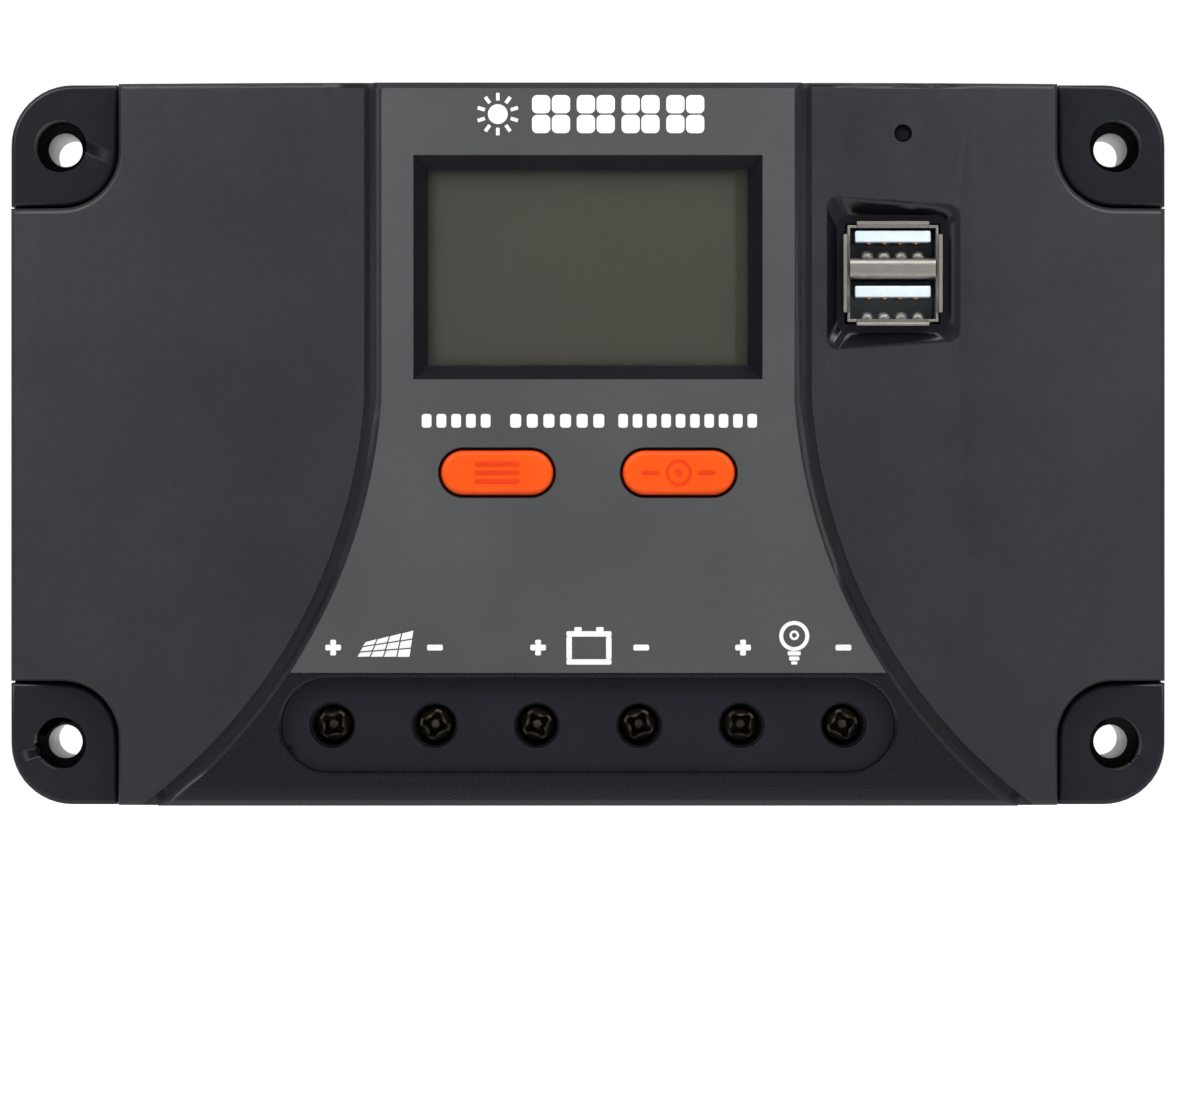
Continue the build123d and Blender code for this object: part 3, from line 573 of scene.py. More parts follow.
class Slot(Enum):
    """The record's material slots, each with its finish."""

    CASE = "case_plastic"
    LABEL = "label_grey"
    BUTTON = "button_orange"
    WINDOW = "clear_window"
    DISPLAY = "lcd_face"
    WHITE = "white_plastic"
    BLACK = "black_plastic"
    BOARD = "circuit_board"
    TIN = "tin_plate"
    GOLD = "gold_plate"
    SCREW = "screw_steel"
    CAGE = "cage_steel"
    SINK = "sink_metal"
    CHIP = "chip_black"
    SLEEVE = "sleeve"
    FERRITE = "ferrite"
    COPPER = "copper"
    FUSE = "fuse_green"
    PAD = "pad_grey"
    PIPE = "pipe_clear"


FINISHES: Dict[Slot, Finish] = {
    Slot.CASE: MouldedPlastic(
        "smooth black base plastic", (0.0048, 0.0048, 0.0082), 0.36, 0.3, 0.28, 0.008, 0.5, 0.2
    ),
    Slot.LABEL: LabelFilm("grey satin label film", (0.0545, 0.0555, 0.0556)),
    Slot.BUTTON: ButtonPlastic("orange key plastic", (0.66, 0.062, 0.0005)),
    Slot.WINDOW: ClearSheet("clear acrylic window", (0.08, 0.08, 0.07)),
    Slot.DISPLAY: DisplayFace("olive display face", (0.0375, 0.0345, 0.0252)),
    Slot.WHITE: MouldedPlastic(
        "white connector plastic", (0.5, 0.58, 0.63), 0.35, 0.4, 0.2, 0.004, 0.1, 0.04
    ),
    Slot.BLACK: MouldedPlastic(
        "plain black terminal plastic", (0.02, 0.02, 0.023), 0.42, 0.35, 0.5, 0.008, 0.3, 0.12
    ),
    Slot.BOARD: CircuitBoard("green circuit board", (0.012, 0.12, 0.04)),
    Slot.TIN: Metal("tin-plated sheet", (0.3, 0.28, 0.245), 0.38, (1.0, 0.1, 1.0), 0.2, 0.3),
    Slot.GOLD: Metal("gold-plated contact", (0.5, 0.33, 0.14), 0.26, (1.0, 0.2, 1.0), 0.15, 0.1),
    # yellow zinc tone, darkened further as painted shade for the deep holes that the screws sit in
    Slot.SCREW: Metal("yellow zinc with painted shade", (0.17, 0.14, 0.1), 0.34, (1.0, 1.0, 1.0), 0.3, 0.5),
    Slot.CAGE: Metal("zinc-plated steel", (0.58, 0.57, 0.54), 0.36, (1.0, 0.3, 1.0), 0.3, 0.3),
    Slot.SINK: Metal("extruded aluminium", (0.45, 0.46, 0.47), 0.42, (1.0, 1.0, 0.02), 0.35, 0.15),
    Slot.CHIP: MouldedPlastic("moulded epoxy", (0.018, 0.018, 0.018), 0.6, 0.35, 0.18, 0.01, 0.2, 0.1),
    Slot.SLEEVE: Sleeve("capacitor sleeve", (0.02, 0.03, 0.09)),
    Slot.FERRITE: MouldedPlastic("sintered ferrite", (0.07, 0.07, 0.07), 0.7, 0.3, 0.35, 0.03, 0.8, 0.3),
    Slot.COPPER: Metal("tinned copper", (0.74, 0.45, 0.3), 0.32, (0.2, 1.0, 1.0), 0.3, 0.35),
    Slot.FUSE: MouldedPlastic("green fuse plastic", (0.04, 0.42, 0.12), 0.25, 0.5, 0.6, 0.004, 0.1, 0.1),
    Slot.PAD: MouldedPlastic("thermal pad", (0.42, 0.42, 0.44), 0.75, 0.2, 0.4, 0.02, 0.6, 0.12),
    # the light pipe's colour is near black as painted shade in its small hole
    Slot.PIPE: MouldedPlastic("light pipe in painted shade", (0.0035, 0.0035, 0.006), 0.3, 0.2, 0.8, 0.002, 0.1, 0.1),
}
COVER = CoverPlastic("black cover plastic", (0.0085, 0.0088, 0.0115), 0.46, 0.42, 0.28, 0.018, 0.8, 0.26)
GUARD = MouldedPlastic("smooth black guard", (0.0062, 0.0062, 0.0098), 0.36, 0.25, 0.3, 0.006, 0.4)
INK = PrintInk("white print", (0.66, 0.66, 0.66))
RAISED_ORANGE = ButtonPlastic("raised orange mark", (0.56, 0.032, 0.001))


# ---------------------------------------------------------------- shaping


class Facing(Enum):
    """Which way the head of a screw looks."""

    FRONT = -1
    BACK = 1


class Solid:
    """A piece being shaped in millimetres."""

    def __init__(self) -> None:
        """Start an empty shape."""
        self.mesh = bmesh.new()

    def block(
        self, low: Point, high: Point, soft: float = 0.0, segments: int = 2
    ) -> List[bmesh.types.BMVert]:
        """A block between two corners, with all its edges rounded by an amount.

        Args:
            low: The lowest corner.
            high: The highest corner.
            soft: The radius of every edge.
            segments: How many faces round an edge.

        Returns:
            The block's vertices before its edges were rounded.
        """
        made = bmesh.ops.create_cube(self.mesh, size=1.0)["verts"]
        bmesh.ops.scale(self.mesh, vec=[h - l for l, h in zip(low, high)], verts=made)
        bmesh.ops.translate(self.mesh, vec=[(h + l) / 2 for l, h in zip(low, high)], verts=made)
        if soft:
            edges = list({edge for vert in made for edge in vert.link_edges})
            self.round_off(edges, soft, segments)
        return made

    def round_off(self, edges: Sequence[bmesh.types.BMEdge], radius: float, segments: int) -> None:
        """Round some edges.

        Args:
            edges: The edges.
            radius: The radius.
            segments: How many faces round an edge.
        """
        bmesh.ops.bevel(
            self.mesh, geom=list(edges), offset=radius, offset_type="OFFSET", affect="EDGES",
            segments=segments, profile=0.5, material=-1, clamp_overlap=True,
        )

    def tablet(
        self, centre: Point, size: Point, corner: float, rim: float = 0.0
    ) -> Optional[bmesh.types.BMFace]:
        """A block with upright edges rounded by a corner radius, and its front edge by a rim radius.

        Args:
            centre: Its middle; the second number is the depth of its back.
            size: Width, thickness and height.
            corner: The radius of the four edges along the depth.
            rim: The radius of the front edge.

        Returns:
            The front face.
        """
        x, back, z = centre
        width, thickness, height = size
        made = self.block(
            (x - width / 2, -back - thickness, z - height / 2), (x + width / 2, -back, z + height / 2)
        )
        long_way = [
            edge for edge in {e for v in made for e in v.link_edges}
            if abs(edge.verts[0].co.y - edge.verts[1].co.y) > thickness / 2
        ]
        self.round_off(long_way, corner, 10)
        bmesh.ops.remove_doubles(self.mesh, verts=self.mesh.verts, dist=0.004)
        if rim:
            self.round_off(self.front_face(-back - thickness).edges, rim, 5)
        return self.front_face(-back - thickness)

    def front_face(self, y: float) -> Optional[bmesh.types.BMFace]:
        """The largest face that looks forward at a place on the Y axis.

        Args:
            y: The place.

        Returns:
            The face, if there is one.
        """
        self.mesh.normal_update()
        faces = [
            face for face in self.mesh.faces
            if face.normal.y < -0.9 and abs(face.calc_center_median().y - y) < 0.002
        ]
        return max(faces, key=lambda face: face.calc_area(), default=None)

    def disc(self, centre: Point, radius: float, thickness: float, segments: int = 32) -> None:
        """A round plate.

        Args:
            centre: Its middle; the second number is the depth of its back.
            radius: Its radius.
            thickness: How far it reaches forward.
            segments: How many sides it has.
        """
        x, back, z = centre
        turn = Matrix.Translation((x, -back - thickness / 2, z)) @ Matrix.Rotation(math.pi / 2, 4, "X")
        bmesh.ops.create_cone(
            self.mesh, cap_ends=True, cap_tris=False, segments=segments,
            radius1=radius, radius2=radius, depth=thickness, matrix=turn,
        )

    def turned(
        self, profile: Sequence[Tuple[float, float]], centre: Tuple[float, float], steps: int = 40
    ) -> None:
        """A lathe-turned shape round an axis along Y.

        Args:
            profile: Radius and Y of each corner, in order, closed to a loop.
            centre: X and Z of the axis.
            steps: How many steps make a full turn.
        """
        corners = [self.mesh.verts.new((centre[0] + r, y, centre[1])) for r, y in profile]
        links = [self.mesh.edges.new((a, b)) for a, b in zip(corners, corners[1:] + corners[:1])]
        bmesh.ops.spin(
            self.mesh, geom=corners + links, cent=(centre[0], 0.0, centre[1]), axis=(0.0, 1.0, 0.0),
            angle=2 * math.pi, steps=steps, use_merge=True, use_duplicate=False,
        )
        self.tidy()

    def tidy(self) -> None:
        """Merge what lies together, drop what has no area and point every face outwards."""
        bmesh.ops.remove_doubles(self.mesh, verts=self.mesh.verts, dist=0.0005)
        bmesh.ops.dissolve_degenerate(self.mesh, edges=self.mesh.edges, dist=0.0002)
        loose = [edge for edge in self.mesh.edges if not edge.link_faces]
        bmesh.ops.delete(self.mesh, geom=loose, context="EDGES")
        bmesh.ops.recalc_face_normals(self.mesh, faces=self.mesh.faces)

    def turn(self, angle: float, centre: Tuple[float, float]) -> None:
        """Turn the whole shape round an axis along Y.

        Args:
            angle: The angle in degrees.
            centre: X and Z of the axis.
        """
        matrix = Matrix.Rotation(math.radians(angle), 3, "Y")
        pivot = Vector((centre[0], 0.0, centre[1]))
        bmesh.ops.rotate(self.mesh, cent=pivot, matrix=matrix, verts=self.mesh.verts)

    def finish(self, name: str, smooth: float = 35.0) -> bpy.types.Object:
        """Bring the shape to metres and make it an object.

        Args:
            name: The object's name.
            smooth: Edges sharper than this many degrees stay crisp.

        Returns:
            The object.
        """
        bmesh.ops.scale(self.mesh, vec=(MM, MM, MM), verts=self.mesh.verts)
        data = bpy.data.meshes.new(name)
        self.mesh.to_mesh(data)
        self.mesh.free()
        return shade(place(name, data), smooth)


def place(name: str, data: bpy.types.Mesh) -> bpy.types.Object:
    """Put a mesh in the scene as an object at the origin."""
    piece = bpy.data.objects.new(name, data)
    bpy.context.scene.collection.objects.link(piece)
    return piece


def shade(piece: bpy.types.Object, angle: float) -> bpy.types.Object:
    """Shade a piece smoothly, with crisp edges where it turns sharply.

    Args:
        piece: The piece.
        angle: Edges sharper than this many degrees stay crisp.

    Returns:
        The same piece.
    """
    for polygon in piece.data.polygons:
        polygon.use_smooth = True
    piece.data.set_sharp_from_angle(angle=math.radians(angle))
    weights = piece.modifiers.new("even shading", "WEIGHTED_NORMAL")
    weights.keep_sharp = True
    weights.weight = SHADING_WEIGHT
    return piece


def carve(piece: bpy.types.Object, cutter: bpy.types.Object) -> None:
    """Cut one piece out of another and throw the cutter away.

    Args:
        piece: What is cut.
        cutter: The shape of the hollow.
    """
    cut = piece.modifiers.new("cut", "BOOLEAN")
    cut.operation = "DIFFERENCE"
    cut.solver = "EXACT"
    cut.use_self = True
    cut.object = cutter
    shaped = piece.evaluated_get(bpy.context.evaluated_depsgraph_get())
    data = bpy.data.meshes.new_from_object(shaped)
    piece.modifiers.clear()
    piece.data = data
    bpy.data.objects.remove(cutter)
    shade(piece, 32.0)


def dress(
    piece: bpy.types.Object, finish: Finish, body: str, stands_for: Sequence[str] = ()
) -> bpy.types.Object:
    """Give a piece its material and the body that it moves with.

    Args:
        piece: The piece.
        finish: Its finish.
        body: The body that it rides on.
        stands_for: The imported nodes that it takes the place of.

    Returns:
        The same piece.
    """
    piece.data.materials.clear()
    piece.data.materials.append(finish.material())
    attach(piece, body)
    if stands_for:
        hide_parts(*stands_for)
    LOG.info("%-26s %6d faces, on %s", piece.name, len(piece.data.polygons), body)
    return piece


def refined(
    node: str, body: str, slot: Slot, finish: Optional[Finish] = None, angle: float = 30.0
) -> bpy.types.Object:
    """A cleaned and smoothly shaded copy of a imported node, in its place.

    Args:
        node: The node.
        body: The body that it rides on.
        slot: The slot of its finish.
        finish: Another finish than the slot's own.
        angle: Edges sharper than this many degrees stay crisp.

    Returns:
        The piece.
    """
    shape = bmesh.new()
    shape.from_mesh(frame["nodes"][node].data)
    bmesh.ops.remove_doubles(shape, verts=shape.verts, dist=2e-6)
    bmesh.ops.dissolve_degenerate(shape, edges=shape.edges, dist=1e-6)
    bmesh.ops.dissolve_limit(
        shape, angle_limit=math.radians(0.2), use_dissolve_boundaries=False,
        verts=shape.verts, edges=shape.edges, delimit={"NORMAL"},
    )
    data = bpy.data.meshes.new(node + "_smooth")
    shape.to_mesh(data)
    shape.free()
    piece = shade(place(node + "_smooth", data), angle)
    return dress(piece, finish or FINISHES[slot], body, [node])


# ---------------------------------------------------------------- sub-assemblies


@dataclass
class Housing:
    """The rear tray, the curved cover, the terminal guard and the label, with even shading."""

    shells: Tuple[Tuple[str, Slot, Optional[Finish]], ...] = (
        ("rear_housing", Slot.CASE, None),
        ("front_cover", Slot.CASE, COVER),
        ("terminal_guard", Slot.CASE, GUARD),
        ("panel_label", Slot.LABEL, None),
    )

    def build(self) -> None:
        """Make the shells and the label."""
        for node, slot, finish in self.shells:
            refined(node, "case", slot, finish)


@dataclass
class PanelPrint:
    """White print on the label: a sun with cells, a line of dashes, polarity signs and three pictures."""

    surface: float = 44.35
    thickness: float = 0.03
    sun_x: float = -13.2
    sun_z: float = 48.3
    sun_radius: float = 1.45
    ray_start: float = 2.0
    ray_end: float = 3.1
    ray_count: int = 10
    cell_count: int = 4
    cell_start: float = -5.4
    cell_pitch: float = 6.55
    cell_size: float = 5.8
    caption_z: float = 3.4
    caption_height: float = 2.0
    caption_words: Tuple[Tuple[float, float, int], ...] = (
        (-24.7, -13.9, 5), (-11.8, 2.8, 6), (4.1, 25.1, 10),
    )
    sign_z: float = -29.8
    plus_xs: Tuple[float, ...] = (-37.3, -7.3, 22.7)
    minus_xs: Tuple[float, ...] = (-22.4, 7.8, 37.4)
    sign_size: float = 2.3
    sign_stroke: float = 0.85
    ray_half_width: float = 0.26
    cell_gap: float = 0.22
    dash_share: float = 0.66
    array_foot: Tuple[Tuple[float, float], ...] = ((-33.85, -31.2), (-26.05, -31.25))
    array_top: Tuple[Tuple[float, float], ...] = ((-32.65, -28.9), (-25.45, -27.2))
    array_inset: float = 0.14

    def bar(self, shape: Solid, x: float, z: float, width: float, height: float) -> None:
        """A printed bar with rounded corners, centred on a place."""
        corner = min(width, height) * 0.28
        shape.tablet((x, self.surface, z), (width, self.thickness, height), corner)

    def ring(self, shape: Solid, x: float, z: float, inner: float, outer: float) -> None:
        """A printed ring, centred on a place."""
        back, front = -self.surface, -self.surface - self.thickness
        shape.turned([(inner, back), (inner, front), (outer, front), (outer, back)], (x, z))

    def sun(self) -> Solid:
        """A sun with rays, and a row of four cells beside it."""
        shape = Solid()
        shape.disc((self.sun_x, self.surface, self.sun_z), self.sun_radius, self.thickness)
        left, right = self.sun_x - self.ray_half_width, self.sun_x + self.ray_half_width
        for i in range(self.ray_count):
            made = shape.block(
                (left, -self.surface - self.thickness, self.sun_z + self.ray_start),
                (right, -self.surface, self.sun_z + self.ray_end),
            )
            turn = Matrix.Rotation(2 * math.pi * i / self.ray_count, 3, "Y")
            bmesh.ops.rotate(shape.mesh, cent=(self.sun_x, 0.0, self.sun_z), matrix=turn, verts=made)
        half = self.cell_size / 4
        for i in range(self.cell_count):
            x = self.cell_start + i * self.cell_pitch
            for way_x in (-1, 1):
                for way_z in (-1, 1):
                    side = self.cell_size / 2 - self.cell_gap
                    self.bar(shape, x + way_x * half, self.sun_z + way_z * half, side, side)
        return shape

    def caption(self) -> Solid:
        """Three runs of short dashes."""
        shape = Solid()
        for start, end, count in self.caption_words:
            pitch = (end - start) / count
            for i in range(count):
                middle = start + pitch * (i + 0.5)
                self.bar(shape, middle, self.caption_z, pitch * self.dash_share, self.caption_height)
        return shape

    def polarity(self) -> Solid:
        """Plus and minus signs over the terminals."""
        shape = Solid()
        for x in self.plus_xs:
            self.bar(shape, x, self.sign_z, self.sign_size, self.sign_stroke)
            for way in (-1, 1):
                length = (self.sign_size - self.sign_stroke) / 2
                rise = way * (self.sign_stroke + length) / 2
                self.bar(shape, x, self.sign_z + rise, self.sign_stroke, length)
        for x in self.minus_xs:
            self.bar(shape, x, self.sign_z, self.sign_size, self.sign_stroke)
        return shape

    def solar_array(self) -> Solid:
        """A slanted grid of cells, wider at the bottom and taller to the right."""
        shape = Solid()
        made = bmesh.ops.create_grid(shape.mesh, x_segments=4, y_segments=3, size=1.0)["verts"]
        foot, foot_end = (Vector(spot) for spot in self.array_foot)
        top, top_end = (Vector(spot) for spot in self.array_top)
        for vert in made:
            u, v = (vert.co.x + 1) / 2, (vert.co.y + 1) / 2
            spot = foot.lerp(foot_end, u).lerp(top.lerp(top_end, u), v)
            vert.co = (spot.x, -self.surface - self.thickness, spot.y)
        shape.mesh.normal_update()
        cells = shape.mesh.faces[:]
        bmesh.ops.inset_individual(shape.mesh, faces=cells, thickness=self.array_inset)
        kept = set(cells)
        gaps = [face for face in shape.mesh.faces if face not in kept]
        bmesh.ops.delete(shape.mesh, geom=gaps, context="FACES_ONLY")
        shape.tidy()
        bmesh.ops.solidify(shape.mesh, geom=shape.mesh.faces[:], thickness=self.thickness)
        shape.tidy()
        return shape

    def battery(self) -> Solid:
        """An outlined battery with two posts."""
        shape = Solid()
        left, right, low, high, stroke = -3.15, 3.45, -32.3, -27.4, 0.8
        middle = (left + right) / 2
        for z in (low + stroke / 2, high - stroke / 2):
            self.bar(shape, middle, z, right - left, stroke)
        for x in (left + stroke / 2, right - stroke / 2):
            self.bar(shape, x, (low + high) / 2, stroke, high - low - 2 * stroke)
        for x in (middle - 1.6, middle + 1.6):
            self.bar(shape, x, high + 0.3, 1.1, 0.6)
        return shape

    def lamp(self) -> Solid:
        """An outlined bulb on a stepped cap."""
        shape = Solid()
        x, z = 30.2, -28.1
        self.ring(shape, x, z, 1.62, 2.2)
        self.ring(shape, x, z + 0.1, 0.35, 0.7)
        for rise, width, height in ((-2.55, 1.9, 0.6), (-3.3, 1.5, 0.6), (-3.95, 0.9, 0.45)):
            self.bar(shape, x, z + rise, width, height)
        return shape

    def build(self) -> None:
        """Make every mark."""
        makers: Dict[str, Callable[[], Solid]] = {
            "print_sun": self.sun,
            "print_caption": self.caption,
            "print_polarity": self.polarity,
            "print_solar_array": self.solar_array,
            "print_battery": self.battery,
            "print_lamp": self.lamp,
        }
        for name, make in makers.items():
            dress(make().finish(name), INK, "case")


@dataclass
class Display:
    """The polariser film on the front of the display glass."""

    centre_z: float = 25.9
    width: float = 49.6
    height: float = 31.4
    back: float = 40.3
    thickness: float = 0.16

    def build(self) -> None:
        """Make the film."""
        film = Solid()
        film.tablet((0.0, self.back, self.centre_z), (self.width, self.thickness, self.height), 0.8, 0.05)
        dress(film.finish("display_film"), FINISHES[Slot.DISPLAY], "case")


@dataclass
class Key:
    """One domed key cap on its flange, with a raised mark."""

    name: str
    x: float
    z: float = -4.2
    width: float = 16.4
    height: float = 6.5
    flange_width: float = 19.6
    flange_height: float = 9.7
    flange_back: float = 39.6
    flange_front: float = 40.5
    top: float = 44.72
    crown: float = 0.06
    mark_height: float = 0.06

    def cap(self) -> Solid:
        """The cap: a slot-shaped block with a round rim and a slightly crowned top."""
        shape = Solid()
        shape.tablet(
            (self.x, self.flange_back, self.z),
            (self.flange_width, self.flange_front - self.flange_back, self.flange_height),
            self.flange_height / 2 - 0.001, 0.15,
        )
        face = shape.tablet(
            (self.x, self.flange_front, self.z),
            (self.width, self.top - self.flange_front, self.height), self.height / 2 - 0.001, 0.8,
        )
        for share in (0.55, 0.45):
            bmesh.ops.inset_region(
                shape.mesh, faces=[face], thickness=0.7, depth=self.crown * share, use_even_offset=True
            )
        return shape

    def mark(self) -> Solid:
        """The raised mark: three bars on the menu key, a dot in a ring between two bars on the other."""
        shape = Solid()
        base = self.top + self.crown - 0.03
        if self.name == "menu":
            for rise in (-1.25, 0.0, 1.25):
                shape.tablet((self.x, base, self.z + rise), (6.6, self.mark_height + 0.03, 0.62), 0.25)
            return shape
        ring = [(1.45, -base), (1.45, -base - 0.09), (1.95, -base - 0.09), (1.95, -base)]
        shape.turned(ring, (self.x, self.z))
        shape.disc((self.x, base, self.z), 0.6, self.mark_height + 0.03)
        for way in (-1, 1):
            shape.tablet((self.x + way * 4.1, base, self.z), (2.6, self.mark_height + 0.03, 0.62), 0.25)
        return shape

    def build(self) -> None:
        """Make the cap and its mark."""
        body = f"{self.name}_key"
        node = f"{self.name}_button"
        dress(self.cap().finish(f"{self.name}_cap"), FINISHES[Slot.BUTTON], body, [node])
        dress(self.mark().finish(f"{self.name}_mark"), RAISED_ORANGE, body)


@dataclass
class CrossScrew:
    """A screw with a washer head, a cross recess and a threaded shank."""

    name: str
    x: float
    z: float
    seat: float
    tip: float
    head_radius: float
    head_height: float
    shank_radius: float
    pitch: float
    angle: float
    facing: Facing = Facing.FRONT

    def along(self, distance: float) -> float:
        """The Y of a place that far outwards from the head's seat."""
        way = self.facing.value
        return -self.seat + way * distance

    def blank(self) -> Solid:
        """Head and shank in one turned shape, with ridges for the thread."""
        head, height, shank = self.head_radius, self.head_height, self.shank_radius
        length = abs(self.tip - self.seat)
        root = shank - self.pitch * 0.45
        outline = [(0.0, height), (head * 0.55, height), (head * 0.82, height * 0.93)]
        outline += [(head * 0.96, height * 0.74), (head, height * 0.5), (head, 0.06), (head * 0.97, 0.0)]
        outline += [(shank, 0.0), (shank, -0.3)]
        turns = int((length - 1.1) / self.pitch)
        for i in range(turns):
            start = -0.3 - i * self.pitch
            outline += [(root, start - self.pitch * 0.4), (root, start - self.pitch * 0.6)]
            outline += [(shank, start - self.pitch * 0.95)]
        outline += [(shank, -length + 0.35), (shank * 0.82, -length), (0.0, -length)]
        shape = Solid()
        shape.turned([(r, self.along(d)) for r, d in outline], (self.x, self.z), 36)
        return shape

    def recess(self) -> Solid:
        """The hollow of the cross: two crossed wings that narrow towards the bottom."""
        shape = Solid()
        deep, wing, web = self.head_height * 0.72, self.head_radius * 0.66, self.head_radius * 0.17
        top = self.head_height + 0.3
        floor, mouth = self.along(-deep + self.head_height), self.along(top)
        for across in (True, False):
            reach = (wing, web) if across else (web, wing)
            low = (self.x - reach[0], min(floor, mouth), self.z - reach[1])
            high = (self.x + reach[0], max(floor, mouth), self.z + reach[1])
            made = shape.block(low, high)
            narrow = [v for v in made if abs(v.co.y - floor) < 0.001]
            bmesh.ops.scale(
                shape.mesh, vec=(0.5 if across else 0.8, 1.0, 0.8 if across else 0.5), verts=narrow,
                space=Matrix.Translation((-self.x, 0.0, -self.z)),
            )
        return shape

    def build(self, body: str, node_group: Sequence[str]) -> bpy.types.Object:
        """Make the screw and turn it to its angle.

        Args:
            body: The body that it rides on.
            node_group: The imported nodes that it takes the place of.

        Returns:
            The screw.
        """
        blank = self.blank()
        blank.turn(self.angle, (self.x, self.z))
        recess = self.recess()
        recess.turn(self.angle, (self.x, self.z))
        piece = blank.finish(self.name)
        carve(piece, recess.finish(self.name + "_hollow"))
        return dress(piece, FINISHES[Slot.SCREW], body, node_group)


@dataclass
class TerminalRow:
    """Six terminal screws, each turned a little differently, as a hand leaves them."""

    pitch: float = 15.0
    z: float = -41.2
    angles: Tuple[float, ...] = (38.0, 12.0, 62.0, 25.0, 49.0, 74.0)

    def build(self) -> None:
        """Make the screws."""
        for i, angle in enumerate(self.angles):
            x = (i - (len(self.angles) - 1) / 2) * self.pitch
            screw = CrossScrew(
                f"terminal_screw_{i + 1}_detail", x, self.z, 33.0, 25.62, 2.78, 2.38, 1.96, 0.7, angle
            )
            screw.build(f"screw_{i + 1}", [f"terminal_screw_{i + 1}"])


@dataclass
class CaseScrews:
    """The four screws that hold the cover on, seen from the back."""

    x: float = 74.0
    z: float = 20.0

    def build(self) -> None:
        """Make the screws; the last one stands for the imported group."""
        spots = [(a, b) for a in (-self.x, self.x) for b in (-self.z, self.z)]
        for i, (x, z) in enumerate(spots):
            screw = CrossScrew(
                f"case_screw_{i + 1}_detail", x, z, 14.0, 35.4, 2.75, 1.95, 1.42, 1.0, 17.0 + 31.0 * i,
                Facing.BACK,
            )
            screw.build("case", ["case_screws"] if i == 3 else [])


